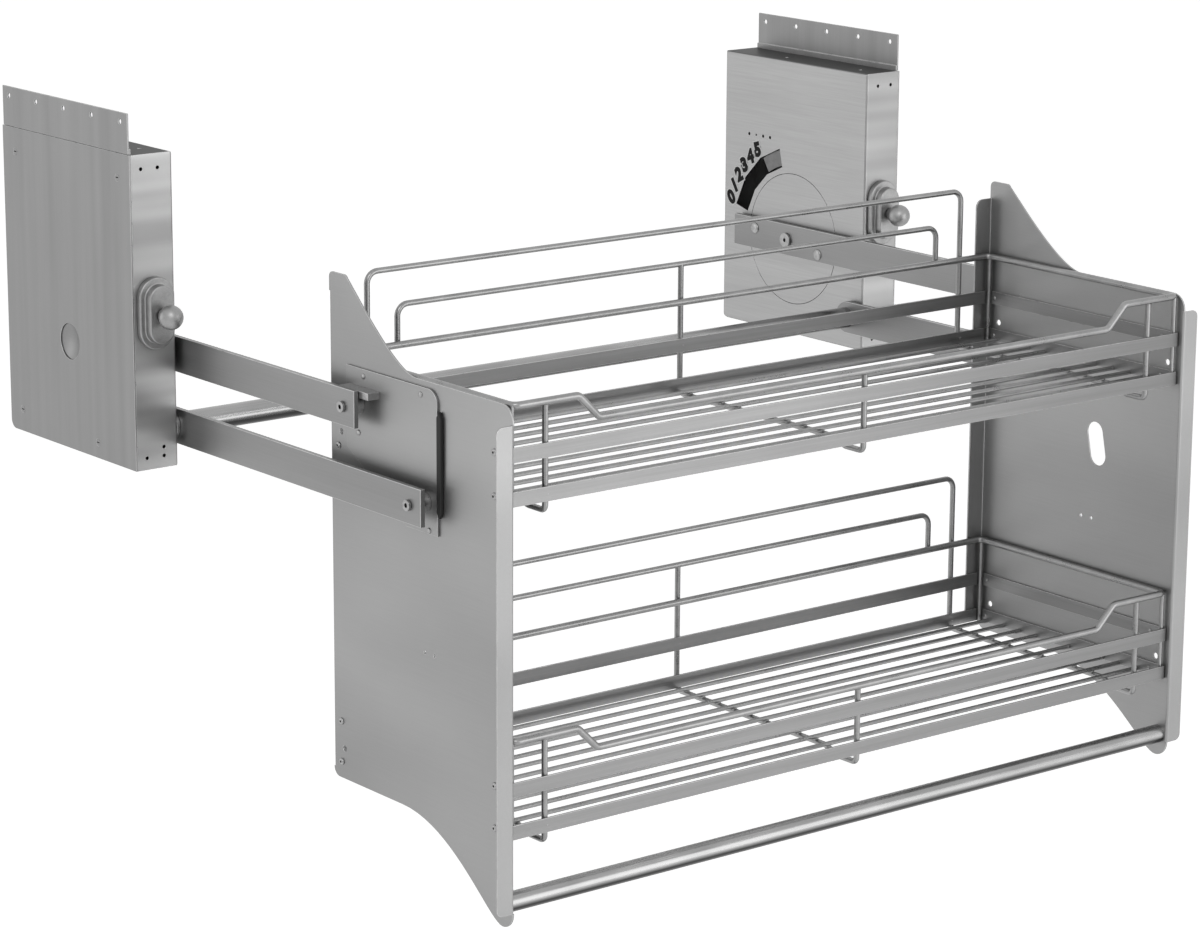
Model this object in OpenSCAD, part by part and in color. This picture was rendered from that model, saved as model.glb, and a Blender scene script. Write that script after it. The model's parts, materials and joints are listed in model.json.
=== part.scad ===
// Two-tier pull-down shelf lift for a tall cabinet.
// Two side casings carry sprung parallel arms, and the arms carry a wire-basket shelf.
// Millimetres. X runs across the cabinet, the front faces -Y and Z is up.
// The origin is midway between the casings, at their front face and bottom.
// Each side piece is drawn at +X and mirrored for the left.

/* [Casing] */
// Half of the overall width, to the outside of a casing
casing_outer_x = 432; // [400:1:450]
// Thickness of a casing across X
casing_thick = 42; // [38:1:52]
// Depth of a casing, front to back
casing_depth = 211; // [205:1:230]
// Height of a casing without its flange
casing_height = 271; // [255:1:300]
// Sheet of the casings and the flange
casing_sheet = 1.5; // [1.2:0.1:2]
// Radius of the lower rear corner
casing_corner_r = 8; // [4:1:14]
// Outer radius on the pressed edges of the casing
casing_edge_r = 2.5; // [2:0.1:3]
// How far the mounting flange stands above the casing
flange_rise = 35; // [25:1:45]
// How far the flange reaches down inside the casing
flange_lap = 36; // [20:1:45]
// Holes along the flange
flange_holes = 5; // [3:1:6]
// Distance between the flange holes
flange_pitch = 46.2; // [30:0.1:48]
// First flange hole behind the casing front
flange_first = 13.7; // [8:0.1:16]
// Diameter of a flange hole
flange_hole_d = 4.4; // [3:0.1:6]
// Flange holes below its top edge
flange_hole_drop = 8; // [5:0.5:14]

/* [Arms] */
// Hub centre behind the casing front
hub_y = 105; // [100:0.5:108]
// Hub centre above the casing bottom
hub_z = 95.5; // [94:0.5:99]
// Lower rear pivot behind the casing front
lower_y = 14; // [12:0.5:18]
// Lower rear pivot above the casing bottom
lower_z = 32.5; // [31:0.5:34]
// Pivot to pivot length of all four arms
arm_len = 349; // [335:1:360]
// Height of an arm's bar
arm_height = 31; // [28:0.5:32]
// Thickness of an arm's bar
arm_thick = 4.5; // [4:0.1:5]
// Gap between an arm and its casing
arm_gap = 3.5; // [3:0.1:5]
// Bar beyond the front pivot
arm_over = 16.5; // [12:0.5:18]
// Upper arm behind the hub centre
arm_tail = 80; // [70:1:84]
// Radius of the cross tube
tube_r = 10; // [9.8:0.1:11]
// Wall of the cross tube
tube_wall = 1.2; // [1:0.1:1.5]
// Radius of the lower rear pivot pin
pin_r = 8; // [7:0.1:8]
// Radius of the hub axle
axle_r = 10; // [8:0.1:11]
// Radius of the pivot bolts' shanks
bolt_r = 3; // [2.5:0.1:3]
// Radius of the pivot bolts' heads
bolt_head_r = 4.6; // [4.2:0.1:6]
// Radial running clearance of the pins
run_gap = 0.05; // [0.02:0.01:0.1]
// Radial clearance of the upper front pivots, where the linkage is opened
open_gap = 0.3; // [0.2:0.05:0.5]

/* [Hub and selector] */
// Radius of the hub disc that shows in the casing
disc_r = 64.5; // [60:0.5:66]
// Gap round the hub disc
disc_gap = 0.5; // [0.3:0.1:1]
// Outer radius of the hub sleeve
sleeve_r = 16; // [14:0.5:18]
// Radius of the lock disc inside
lock_r = 55; // [52:1:56]
// Inner radius of the arc window
window_in = 71.5; // [70:0.5:74]
// Outer radius of the arc window
window_out = 90; // [86:0.5:94]
// Angle where the window begins, from the rear
window_from = 15; // [10:1:20]
// Angle where the window ends
window_to = 76; // [70:1:80]
// Width of the selector's flag as an angle
flag_angle = 18; // [12:1:20]
// Turns of the flat spring
spring_turns = 6; // [3:1:8]
// Width of the flat spring
spring_width = 11; // [8:0.5:12]

/* [Lock knob] */
// Height of the knob above the casing bottom
knob_z = 135.5; // [125:0.5:140]
// Diameter of the ball
knob_d = 21; // [16:0.5:26]
// Ball centre in front of the casing
knob_out = 27; // [25:0.5:32]
// Radius of the plunger rod
rod_r = 4; // [3:0.1:4.4]
// Width of the first plate of the escutcheon
plate_one_w = 34; // [28:1:38]
// Height of the first plate of the escutcheon
plate_one_h = 62; // [50:1:70]
// Thickness of the first plate
plate_one_t = 6; // [4:0.5:8]
// Width of the second plate
plate_two_w = 24; // [18:1:26]
// Height of the second plate
plate_two_h = 50; // [40:1:54]
// Thickness of the second plate
plate_two_t = 8; // [4:0.5:8]

/* [Shelf frame] */
// Sheet of the side plates
frame_sheet = 1.5; // [1.2:0.1:2]
// Depth of a side plate
plate_depth = 248.5; // [240:0.5:252]
// Height of the plate's straight top edge above its lowest point
plate_top = 424.5; // [415:0.5:435]
// Height of the horn at the rear
horn_top = 492; // [480:1:505]
// Height of the rear part of the bottom edge
plate_heel = 65; // [60:1:70]
// Lower pivot in front of the plate's rear edge
pivot_to_rear = 135.8; // [132.5:0.1:138.5]
// Lower pivot above the plate's lowest point
plate_pivot_z = 327; // [322:1:327]
// Width of the flange at the front, outwards
front_flange = 15.6; // [12:0.1:16]
// Width of the flange at the rear, inwards
rear_flange = 19.6; // [15:0.1:22]
// Pivot post between plate and arm
post_len = 12.2; // [12:0.1:15]
// Thickness of the pivot bracket
bracket_t = 2; // [1.5:0.1:2.5]
// Radius of the handle tube
handle_r = 8.25; // [7:0.25:9]
// Handle behind the plate's front
handle_y = 11.7; // [10:0.1:14]
// Handle above the plate's lowest point
handle_z = 20; // [18:0.5:24]
// Width of the slot in the right plate
slot_w = 19; // [12:1:22]
// Length of the slot in the right plate
slot_len = 40; // [30:1:46]
// Lean of the slot
slot_lean = 12; // [0:1:20]

/* [Baskets] */
// Distance between the two baskets
basket_pitch = 270; // [255:1:272]
// Floor of the upper basket above the plate's lowest point
basket_floor = 345.1; // [340:0.1:347]
// Ring wire above the floor
ring_rise = 77.9; // [70:0.1:79]
// Radius of the ring wire
ring_r = 3; // [2.5:0.1:3.2]
// Upper band's middle above the floor
high_band = 39.2; // [34:0.1:42]
// Lower band's middle above the floor
low_band = 4.2; // [4.1:0.1:5]
// Height of a band
band_h = 12; // [10:0.5:12.5]
// Thickness of a band
band_t = 2; // [1.5:0.1:2]
// Radius of the uprights and cross wires
upright_r = 2.5; // [2.2:0.1:2.6]
// Radius of the floor wires
floor_r = 2; // [1.5:0.1:2.2]
// Wires in a basket's floor
floor_wires = 11; // [7:1:13]
// Half the width across the tall rear hoop
hoop_x = 330; // [310:1:335]
// Top of the tall hoop above the floor
hoop_rise = 140.9; // [130:0.1:150]
// Half the width across the inner hoop
inner_x = 300; // [270:1:305]
// Top of the inner hoop above the floor
inner_rise = 110.4; // [100:0.1:120]
// Drop of the ring along the front
dip = 19.6; // [10:0.1:24]
// Where the dip begins, from the middle
dip_x = 299; // [280:1:310]

/* [Hidden] */
$fn = 48;
// A cut passes this far beyond a face
eps = 1;
// Gap at a face that slides past another
slide_gap = 0.1;

// Planes across X
back_x = casing_outer_x - casing_sheet;
face_x = casing_outer_x - casing_thick;
face_in_x = face_x + casing_sheet;
arm_out_x = face_x - arm_gap;
arm_in_x = arm_out_x - arm_thick;
bracket_x = arm_in_x - post_len;
plate_x = bracket_x - bracket_t;
plate_in_x = plate_x - frame_sheet;
knob_x = casing_outer_x - casing_thick / 2;

// Front pivots and the shelf's own corner
plate_pivot_y = plate_depth - pivot_to_rear;
front_upper_y = hub_y - arm_len;
front_lower_y = lower_y - arm_len;
shelf_y = front_lower_y - plate_pivot_y;
shelf_z = lower_z - plate_pivot_z;
shelf_back_y = shelf_y + plate_depth;
flange_top = casing_height + flange_rise;

// Small fixed pieces
edge_bend = 1;
rivet_r = 3;
rivet_head_r = 5.5;
rivet_head_t = 1.8;
head_t = 2.6;
hex_r = 2;
hex_deep = 1.5;
hub_bolt_r = 4;
hub_head_r = 7;
disc_t = 2.5;
hub_boss_r = 9;
rivet_spots = [[48, 5], [-47, -8]];
axle_end_x = face_x + disc_t + 0.7;
axle_flange_t = 2.5;
axle_flange_r = 22;
dish_deep = 3.2;
dish_edge = sleeve_r - 0.5;
dish_r = (pow(dish_edge, 2) + pow(dish_deep, 2)) / (2 * dish_deep);
sleeve_end_x = back_x - axle_flange_t - 0.5;
lock_t = 4;
lock_x = knob_x - lock_t / 2;
notch_w = 10;
notch_deep = 6;
notch_low = -58.3;
notch_high = 61.7;
selector_x = knob_x + 3.5;
selector_t = 2;
selector_ring_r = 24;
selector_w = 12;
flag_x = face_in_x + 0.5;
flag_t = 1.5;
flag_in = window_in + 1.5;
flag_out = window_out - 1.5;
flag_mid = window_to - 1 - flag_angle / 2;
post_r = 3;
post_at = 62;
spring_x = face_x + 4.6;
spring_t = 1;
spring_in = sleeve_r + 1.2;
spring_out = post_at - post_r - 1.1;
punch_r = 1.6;
dots_start = 36.6;
dots_pitch = 10.6;
dots_rise = 96.5;
top_hole_front = 27;
top_hole_back = 136;
top_hole_inset = 15.5;
front_hole_spots = [
  [11.1, casing_height - 12.5], [27.4, casing_height - 12.5],
  [11.1, 10.4], [28, 10.4], [28, 18.2]
];
pillar_r = 4;
pillar_inset = 21;
pillar_spots = [
  [20, casing_height - pillar_inset], [casing_depth - pillar_inset, casing_height - pillar_inset],
  [casing_depth - pillar_inset, 20], [62, 14]
];
screw_r = 1.5;
screw_head_r = 3.2;
rod_tip_y = hub_y - sqrt(pow(lock_r, 2) - pow(knob_z - hub_z - rod_r, 2)) - 0.5;
rod_head_y = 3 - knob_out;
collar_y = 26.2;
collar_t = 2;
collar_r = 7;
coil_wire = 0.8;
coil_r = 5.6;
coil_turns = 9;
coil_pitch = 1.5;
bush_len = 20;
washer_r = 13;
pin_flange_r = 13;
pin_flange_t = 2;
pin_end_x = arm_in_x - bush_len + 2;

// Basket planes
basket_front_y = shelf_y + 4.7;
basket_back_y = shelf_back_y - frame_sheet;
band_in_x = plate_in_x - band_t;
ring_x = plate_in_x - 4.3;
ring_front_y = basket_front_y + 2.25;
ring_back_y = basket_back_y - ring_r - 0.05;
ring_bend = 6;
front_wire_y = basket_front_y + band_t + upright_r - 0.3;
back_wire_y = basket_back_y + upright_r - 0.2;
cross_drop = upright_r + floor_r - 0.2;
wire_bend = 7;
hoop_bend = 10;
corner_rod_r = 2;
corner_rod_x = band_in_x - corner_rod_r + 0.2;
corner_front_y = basket_front_y + band_t + corner_rod_r + 0.1;
corner_back_y = basket_back_y - band_t - corner_rod_r - 0.2;
floor_margin = 13;
basket_levels = [0, -basket_pitch];
upper_z = shelf_z + basket_floor;
dip_run = 20;
knuckle = 0.15;

// Plate features, from the plate's front and lowest point
tip_r = 14;
nose_r = 14;
heel_r = 8;
horn_r = 5;
horn_w = 26.5;
heel_run = 98.5;
rise_run = 118.5;
upper_pivot = front_upper_y - shelf_y;
fixing_front = 23.7;
fixing_back = plate_depth - 11.8;
fixing_r = 1.5;
fixing_head_r = 3;
fixing_head_t = 1.6;
peep_r = 2.6;
peep_front = 17.7;
peep_back = plate_depth - 15.8;
peep_rise = 16.4;
mark_r = 1.5;
mark_spots = [[104.7, 201.5], [117.7, 201.5]];
slot_mid = [101.3, 271.5];
bracket_front = plate_pivot_y - 16;
bracket_back = upper_pivot + 18.3;
bracket_low = 301.5;
bracket_high = 419.5;
bracket_corner = 12;
bracket_waist = 352;
bracket_toe = plate_pivot_y + 27.3;
bracket_rivet_spots = [
  [plate_pivot_y + 6, 413], [upper_pivot - 6, 413.5], [plate_pivot_y - 4.7, 304.5], [upper_pivot + 1.3, 366]
];
tab_front = upper_pivot - 29;
tab_len = 42;
tab_low = 399;
tab_t = 6;
buffer_w = 6;
buffer_t = 3.2;
buffer_low = 316.5;
buffer_high = 403.5;
post_out_r = 8;
plug_len = 16;
handle_wall = 1.5;
handle_bolt_r = 2.5;
handle_head_r = 5;

steel = [0.72, 0.72, 0.73];
wire = [0.78, 0.78, 0.79];
bright = [0.85, 0.85, 0.86];
dark = [0.3, 0.3, 0.31];
rubber = [0.08, 0.08, 0.08];
nylon = [0.5, 0.5, 0.5];

// Points on a circle, from one angle to another
function arc(c, r, from, to, steps = 10) = [
  for (i = [0 : steps])
    let (a = from + (to - from) * i / steps)
      [c[0] + r * cos(a), c[1] + r * sin(a)]
];

// Points on a cubic curve, its two ends left out
function curve(a, b, c, d, steps = 20) = [
  for (i = [1 : steps - 1])
    let (t = i / steps)
      pow(1 - t, 3) * a + 3 * t * pow(1 - t, 2) * b + 3 * t * t * (1 - t) * c + pow(t, 3) * d
];

// Points along a flat spiral, set off sideways by half its strip
function spiral(off, steps) = [
  for (i = [0 : steps])
    let (a = -360 * spring_turns * (1 - i / steps))
      let (r = spring_in + (spring_out - spring_in) * i / steps + off)
        [r * cos(a), r * sin(a)]
];

function reversed(points) = [for (i = [len(points) - 1 : -1 : 0]) points[i]];

module left() {
  mirror([1, 0, 0])
    children();
}

module both() {
  children();
  left()
    children();
}

// A flat outline in Y and Z, thickened towards +X
module sheet_x(x, t) {
  translate([x, 0, 0])
    rotate([90, 0, 90])
      linear_extrude(t)
        children();
}

// Round bars along each axis
module bar_x(x, y, z, r, len) {
  translate([x, y, z])
    rotate([0, 90, 0])
      cylinder(h = len, r = r);
}

module bar_y(x, y, z, r, len) {
  translate([x, y, z])
    rotate([-90, 0, 0])
      cylinder(h = len, r = r);
}

module bar_z(x, y, z, r, len) {
  translate([x, y, z])
    cylinder(h = len, r = r);
}

// A quarter bend in a round bar, lying in X and Y before it is turned
module elbow(bend, r) {
  rotate_extrude(angle = 90)
    translate([bend, 0])
      circle(r = r);
}

// A long hole or plate with round ends, longest along its Y
module stadium(w, h) {
  square([w, h - w], center = true);
  for (s = [-1, 1])
    translate([0, s * (h - w) / 2])
      circle(d = w);
}

// A bolt head with a hex socket, its top towards -X
module socket_head(x, y, z, r, t) {
  difference() {
    bar_x(x, y, z, r, t);
    translate([x - eps, y, z])
      rotate([0, 90, 0])
        cylinder(h = eps + hex_deep, r = hex_r, $fn = 6);
  }
}

// Cuts the sharp corner from an edge that runs along Z
module edge_cut(len) {
  difference() {
    translate([-eps, -eps, -eps])
      cube([casing_edge_r + eps, casing_edge_r + eps, len + 2 * eps]);
    translate([casing_edge_r, casing_edge_r, -2 * eps])
      cylinder(h = len + 4 * eps, r = casing_edge_r);
  }
}

module casing_outline(inset) {
  corner = casing_corner_r - inset;
  polygon(concat(
    [[inset, inset], [casing_depth - inset - corner, inset]],
    arc([casing_depth - inset - corner, inset + corner], corner, -90, 0),
    [[casing_depth - inset, casing_height - inset], [inset, casing_height - inset]]
  ));
}

// The window's three straight lengths
module window_outline() {
  step = (window_to - window_from) / 3;
  angles = [for (i = [0 : 3]) window_from + i * step];
  polygon(concat(
    [for (a = angles) [hub_y + window_out * cos(a), hub_z + window_out * sin(a)]],
    [for (a = reversed(angles)) [hub_y + window_in * cos(a), hub_z + window_in * sin(a)]]
  ));
}

module casing_shell() {
  difference() {
    sheet_x(face_x, casing_thick - casing_sheet)
      casing_outline(0);
    sheet_x(face_in_x, casing_thick)
      casing_outline(casing_sheet);
    bar_x(face_x - eps, hub_y, hub_z, disc_r + disc_gap, 2 * eps + casing_sheet, $fn = 96);
    bar_x(face_x - eps, lower_y, lower_z, pin_r, 2 * eps + casing_sheet);
    sheet_x(face_x - eps, 2 * eps + casing_sheet)
      window_outline();
    bar_y(knob_x, -eps, knob_z, rod_r + 1, 2 * eps + casing_sheet);
    shell_holes();
    translate([back_x - casing_sheet, casing_sheet, casing_height - casing_sheet - eps])
      cube([casing_sheet + eps, casing_depth - 2 * casing_sheet, casing_sheet + 2 * eps]);
    translate([face_x, 0, 0])
      edge_cut(casing_height);
    translate([face_x, casing_depth, casing_height])
      rotate([90, 0, 0])
        mirror([0, 1, 0])
          edge_cut(casing_depth);
    translate([face_x, casing_depth, 0])
      rotate([90, 0, 0])
        edge_cut(casing_depth);
    translate([face_x, casing_depth, 0])
      mirror([0, 1, 0])
        edge_cut(casing_height);
  }
}

// Small punched holes in the shell's face, front and top
module shell_holes() {
  for (i = [0 : 3])
    bar_x(face_x - eps, hub_y + dots_start + dots_pitch * i, hub_z + dots_rise, i == 2 ? 1 : punch_r,
      2 * eps + casing_sheet, $fn = 24);
  for (spot = front_hole_spots)
    bar_y(casing_outer_x - spot[0], -eps, spot[1], punch_r, 2 * eps + casing_sheet, $fn = 24);
  for (y = [top_hole_front, top_hole_back])
    bar_z(face_x + top_hole_inset, y, casing_height - casing_sheet - eps, punch_r,
      2 * eps + casing_sheet, $fn = 24);
}

module casing_back() {
  difference() {
    sheet_x(back_x, casing_sheet)
      casing_outline(0);
    bar_x(back_x - eps, hub_y, hub_z, sleeve_r, 2 * eps + casing_sheet);
    for (spot = pillar_spots)
      bar_x(back_x - eps, spot[0], spot[1], screw_head_r, 2 * eps + casing_sheet, $fn = 24);
  }
}

// The flange is joggled: it stands behind the shell's back and comes flush above it
module mounting_flange() {
  low_z = casing_height - flange_lap;
  joint = 0.4;
  difference() {
    union() {
      translate([back_x - casing_sheet, casing_sheet + 0.5, low_z])
        cube([casing_sheet, casing_depth - 2 * casing_sheet - 1, flange_lap + 5]);
      translate([back_x, casing_sheet + 0.5, casing_height + joint])
        cube([casing_sheet, casing_depth - 2 * casing_sheet - 1, flange_rise - joint]);
    }
    for (i = [0 : flange_holes - 1])
      bar_x(back_x - eps, flange_first + i * flange_pitch, flange_top - flange_hole_drop,
        flange_hole_d / 2, 2 * eps + casing_sheet);
    for (spot = pillar_spots)
      bar_x(back_x - casing_sheet - eps, spot[0], spot[1], pillar_r + 1, 2 * eps + casing_sheet);
  }
}

module hub_axle() {
  difference() {
    union() {
      bar_x(axle_end_x, hub_y, hub_z, axle_r, back_x - axle_end_x);
      bar_x(back_x - axle_flange_t, hub_y, hub_z, axle_flange_r, axle_flange_t);
    }
    bar_x(axle_end_x - eps, hub_y, hub_z, hub_bolt_r, 20 + eps);
    translate([back_x + dish_r - dish_deep, hub_y, hub_z])
      sphere(r = dish_r, $fn = 96);
  }
}

module hub_bolt() {
  head_x = arm_in_x - slide_gap - head_t;
  socket_head(head_x, hub_y, hub_z, hub_head_r, head_t);
  bar_x(head_x + head_t, hub_y, hub_z, hub_bolt_r, axle_end_x + 18 - head_x - head_t);
}

module lower_pin() {
  bar_x(pin_end_x, lower_y, lower_z, pin_r, back_x - pin_end_x);
  bar_x(back_x - pin_flange_t, lower_y, lower_z, pin_flange_r - 2, pin_flange_t);
  bar_x(arm_out_x + slide_gap, lower_y, lower_z, washer_r, arm_gap - slide_gap);
}

module escutcheon() {
  difference() {
    union() {
      translate([knob_x, 0, knob_z])
        rotate([90, 0, 0])
          linear_extrude(plate_one_t)
            stadium(plate_one_w, plate_one_h);
      translate([knob_x, -plate_one_t, knob_z])
        rotate([90, 0, 0])
          linear_extrude(plate_two_t)
            stadium(plate_two_w, plate_two_h);
    }
    bar_y(knob_x, -plate_one_t - plate_two_t - eps, knob_z, rod_r + run_gap,
      plate_one_t + plate_two_t + 2 * eps);
  }
}

module casing_pillar_set() {
  for (spot = pillar_spots)
    difference() {
      bar_x(face_in_x, spot[0], spot[1], pillar_r, back_x - face_in_x);
      bar_x(back_x - 12, spot[0], spot[1], screw_r, 12 + eps, $fn = 24);
    }
}

module casing_screw_set() {
  for (spot = pillar_spots) {
    bar_x(back_x - 10, spot[0], spot[1], screw_r, 10, $fn = 24);
    difference() {
      bar_x(back_x, spot[0], spot[1], screw_head_r, casing_sheet, $fn = 24);
      translate([casing_outer_x - 0.8, spot[0], spot[1]])
        cube([2, 4, 0.9], center = true);
    }
  }
}

// The return spring of the lock plunger, drawn at its shortest
module plunger_spring() {
  for (i = [0 : coil_turns - 1])
    translate([knob_x, casing_sheet + coil_wire + i * coil_pitch, knob_z])
      rotate([90, 0, 0])
        rotate_extrude($fn = 32)
          translate([coil_r, 0])
            circle(r = coil_wire, $fn = 16);
}

module arm_bar(y_from, y_to, z) {
  translate([arm_in_x, y_from, z - arm_height / 2])
    cube([arm_thick, y_to - y_from, arm_height]);
}

module upper_arm() {
  difference() {
    arm_bar(front_upper_y - arm_over, hub_y + arm_tail, hub_z);
    bar_x(arm_in_x - eps, front_upper_y, hub_z, bolt_r + open_gap, arm_thick + 2 * eps);
    bar_x(arm_in_x - eps, hub_y, hub_z, hub_bolt_r + run_gap, arm_thick + 2 * eps);
    for (spot = rivet_spots)
      bar_x(arm_in_x - eps, hub_y + spot[0], hub_z + spot[1], rivet_r, arm_thick + 2 * eps);
  }
}

// Disc and sleeve that the upper arm turns with
module hub() {
  difference() {
    union() {
      bar_x(face_x, hub_y, hub_z, disc_r, disc_t, $fn = 96);
      bar_x(face_x, hub_y, hub_z, sleeve_r, sleeve_end_x - face_x);
      bar_x(arm_out_x, hub_y, hub_z, hub_boss_r, arm_gap);
      for (spot = rivet_spots)
        bar_x(arm_out_x, hub_y + spot[0], hub_z + spot[1], hub_boss_r - 2, arm_gap);
    }
    bar_x(arm_out_x - eps, hub_y, hub_z, hub_bolt_r + run_gap, arm_gap + disc_t + 2 * eps);
    bar_x(face_x + disc_t, hub_y, hub_z, axle_r + run_gap, sleeve_end_x - face_x);
    for (spot = rivet_spots)
      bar_x(arm_out_x - eps, hub_y + spot[0], hub_z + spot[1], rivet_r, arm_gap + disc_t + 2 * eps);
  }
}

// Two notches meet the plunger with the shelf stowed and fully down
module lock_disc() {
  difference() {
    bar_x(lock_x, hub_y, hub_z, lock_r, lock_t, $fn = 96);
    bar_x(lock_x - eps, hub_y, hub_z, sleeve_r, lock_t + 2 * eps);
    for (a = [notch_low, notch_high])
      translate([lock_x - eps, hub_y, hub_z])
        rotate([-a, 0, 0])
          translate([0, -lock_r - eps, -notch_w / 2])
            cube([lock_t + 2 * eps, notch_deep + eps, notch_w]);
  }
}

module hub_rivet_set() {
  for (spot = rivet_spots) {
    bar_x(arm_in_x - rivet_head_t, hub_y + spot[0], hub_z + spot[1], rivet_head_r, rivet_head_t);
    bar_x(arm_in_x, hub_y + spot[0], hub_z + spot[1], rivet_r, arm_thick + arm_gap + disc_t);
  }
}

module lower_arm() {
  difference() {
    union() {
      arm_bar(front_lower_y - arm_over, lower_y, lower_z);
      bar_x(arm_in_x, lower_y, lower_z, arm_height / 2, arm_thick);
    }
    bar_x(arm_in_x - eps, lower_y, lower_z, pin_r + run_gap, arm_thick + 2 * eps);
    bar_x(arm_in_x - eps, front_lower_y, lower_z, bolt_r + run_gap, arm_thick + 2 * eps);
  }
}

module tube_bush() {
  difference() {
    bar_x(arm_in_x - bush_len, lower_y, lower_z, tube_r - tube_wall, bush_len);
    bar_x(arm_in_x - bush_len - eps, lower_y, lower_z, pin_r + run_gap, bush_len + 2 * eps);
  }
}

// Outline of a side plate from its front and lowest point
module plate_outline() {
  horn_front = [plate_depth - horn_w, horn_top - 3];
  heel_start = plate_depth - heel_run;
  rise_start = plate_depth - rise_run;
  polygon(concat(
    arc([tip_r, tip_r], tip_r, 180, 270),
    reversed(curve([heel_start, plate_heel], [heel_start - 70, plate_heel], [tip_r + 19, 0], [tip_r, 0])),
    [[heel_start, plate_heel]],
    arc([plate_depth - heel_r, plate_heel + heel_r], heel_r, -90, 0),
    arc([plate_depth - horn_r, horn_top - horn_r], horn_r, 0, 90),
    arc([horn_front[0] + 5, horn_top - 5], 5, 90, 150, 5),
    reversed(curve([rise_start, plate_top], [rise_start + 25, plate_top + 2.5],
      [horn_front[0] - 27, horn_top - 28], horn_front)),
    [[rise_start, plate_top]],
    arc([nose_r, plate_top - nose_r], nose_r, 90, 180)
  ));
}

// A flange and its bend, standing on the plate's edge, drawn towards +X and +Y
module flange_strip(w, low, high, corner) {
  outer = edge_bend + frame_sheet;
  translate([outer, 0, 0])
    rotate([90, 0, 0])
      translate([0, 0, -frame_sheet])
        linear_extrude(frame_sheet)
          polygon(concat(
            [[0, low]],
            arc([w - outer - corner, low + corner], corner, -90, 0, 6),
            arc([w - outer - corner, high - corner], corner, 0, 90, 6),
            [[0, high]]
          ));
  translate([outer, outer, low])
    linear_extrude(high - low)
      intersection() {
        difference() {
          circle(r = outer);
          circle(r = edge_bend);
        }
        translate([-outer, -outer])
          square(outer);
      }
}

module plate_blank() {
  outer = edge_bend + frame_sheet;
  low_front = tip_r;
  high_front = plate_top - nose_r - 1;
  low_back = plate_heel + heel_r;
  high_back = horn_top - 16;
  translate([0, shelf_y, shelf_z]) {
    difference() {
      sheet_x(plate_in_x, frame_sheet)
        plate_outline();
      translate([plate_in_x - eps, -eps, low_front])
        cube([frame_sheet + 2 * eps, outer + eps, high_front - low_front]);
      translate([plate_in_x - eps, plate_depth - outer, low_back])
        cube([frame_sheet + 2 * eps, outer + eps, high_back - low_back]);
    }
    translate([plate_in_x, 0, 0])
      flange_strip(front_flange + frame_sheet, low_front, high_front, 6);
    translate([plate_x, plate_depth, 0])
      mirror([0, 1, 0])
        mirror([1, 0, 0])
          flange_strip(rear_flange, low_back, high_back, 7);
  }
}

module plate_hole(y, z, r, fine = 24) {
  bar_x(plate_in_x - eps, shelf_y + y, shelf_z + z, r, frame_sheet + bracket_t + 2 * eps, $fn = fine);
}

module side_plate() {
  difference() {
    plate_blank();
    bar_x(plate_in_x - eps, front_lower_y, lower_z, bolt_r, frame_sheet + 2 * eps);
    bar_x(plate_in_x - eps, front_upper_y, hub_z, bolt_r, frame_sheet + 2 * eps);
    plate_hole(handle_y, handle_z, handle_bolt_r);
    for (level = basket_levels)
      for (y = [fixing_front, fixing_back], rise = [high_band, low_band])
        plate_hole(y, basket_floor + level + rise, fixing_r);
    for (level = basket_levels)
      for (y = [peep_front, peep_back])
        plate_hole(y, basket_floor + level + peep_rise, peep_r);
    for (spot = mark_spots)
      plate_hole(spot[0], spot[1], mark_r);
  }
}

module plate_slot() {
  translate([0, shelf_y + slot_mid[0], shelf_z + slot_mid[1]])
    sheet_x(plate_in_x - eps, frame_sheet + 2 * eps)
      rotate(-slot_lean)
        stadium(slot_w, slot_len);
}

module pivot_bracket() {
  difference() {
    translate([0, shelf_y, shelf_z])
      sheet_x(plate_x, bracket_t)
        polygon(concat(
          [[bracket_front, bracket_low], [bracket_toe, bracket_low], [bracket_back, bracket_waist]],
          [[bracket_back, bracket_high]],
          arc([bracket_front + bracket_corner, bracket_high - bracket_corner], bracket_corner, 90, 180)
        ));
    bar_x(plate_x - eps, front_lower_y, lower_z, bolt_r, bracket_t + 2 * eps);
    bar_x(plate_x - eps, front_upper_y, hub_z, bolt_r, bracket_t + 2 * eps);
  }
}

module pivot_post_set() {
  for (spot = [[front_lower_y, lower_z], [front_upper_y, hub_z]])
    difference() {
      bar_x(bracket_x, spot[0], spot[1], post_out_r, post_len - slide_gap);
      bar_x(bracket_x - eps, spot[0], spot[1], bolt_r, post_len + 2 * eps);
    }
}

module pivot_bolt_set() {
  head_x = arm_out_x + slide_gap;
  for (spot = [[front_lower_y, lower_z], [front_upper_y, hub_z]]) {
    bar_x(plate_in_x, spot[0], spot[1], bolt_r, head_x - plate_in_x);
    translate([head_x + head_t, 0, 0])
      mirror([1, 0, 0])
        socket_head(0, spot[0], spot[1], bolt_head_r, head_t);
  }
}

module bracket_rivet_set() {
  for (spot = bracket_rivet_spots)
    bar_x(bracket_x, shelf_y + spot[0], shelf_z + spot[1], 2.4, 1, $fn = 24);
}

// A tab on the bracket that stands between it and the end of the upper arm
module stop_tab() {
  translate([bracket_x, shelf_y + tab_front, shelf_z + tab_low])
    cube([post_len - 4 * slide_gap, tab_len, tab_t]);
}

module buffer_strip() {
  half = buffer_w / 2;
  translate([0, shelf_y + bracket_front - half - 0.2, shelf_z])
    sheet_x(plate_x, buffer_t)
      polygon([
        [-half, buffer_low + 5], [0, buffer_low], [half, buffer_low + 5],
        [half, buffer_high - 5], [0, buffer_high], [-half, buffer_high - 5]
      ]);
}

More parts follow.
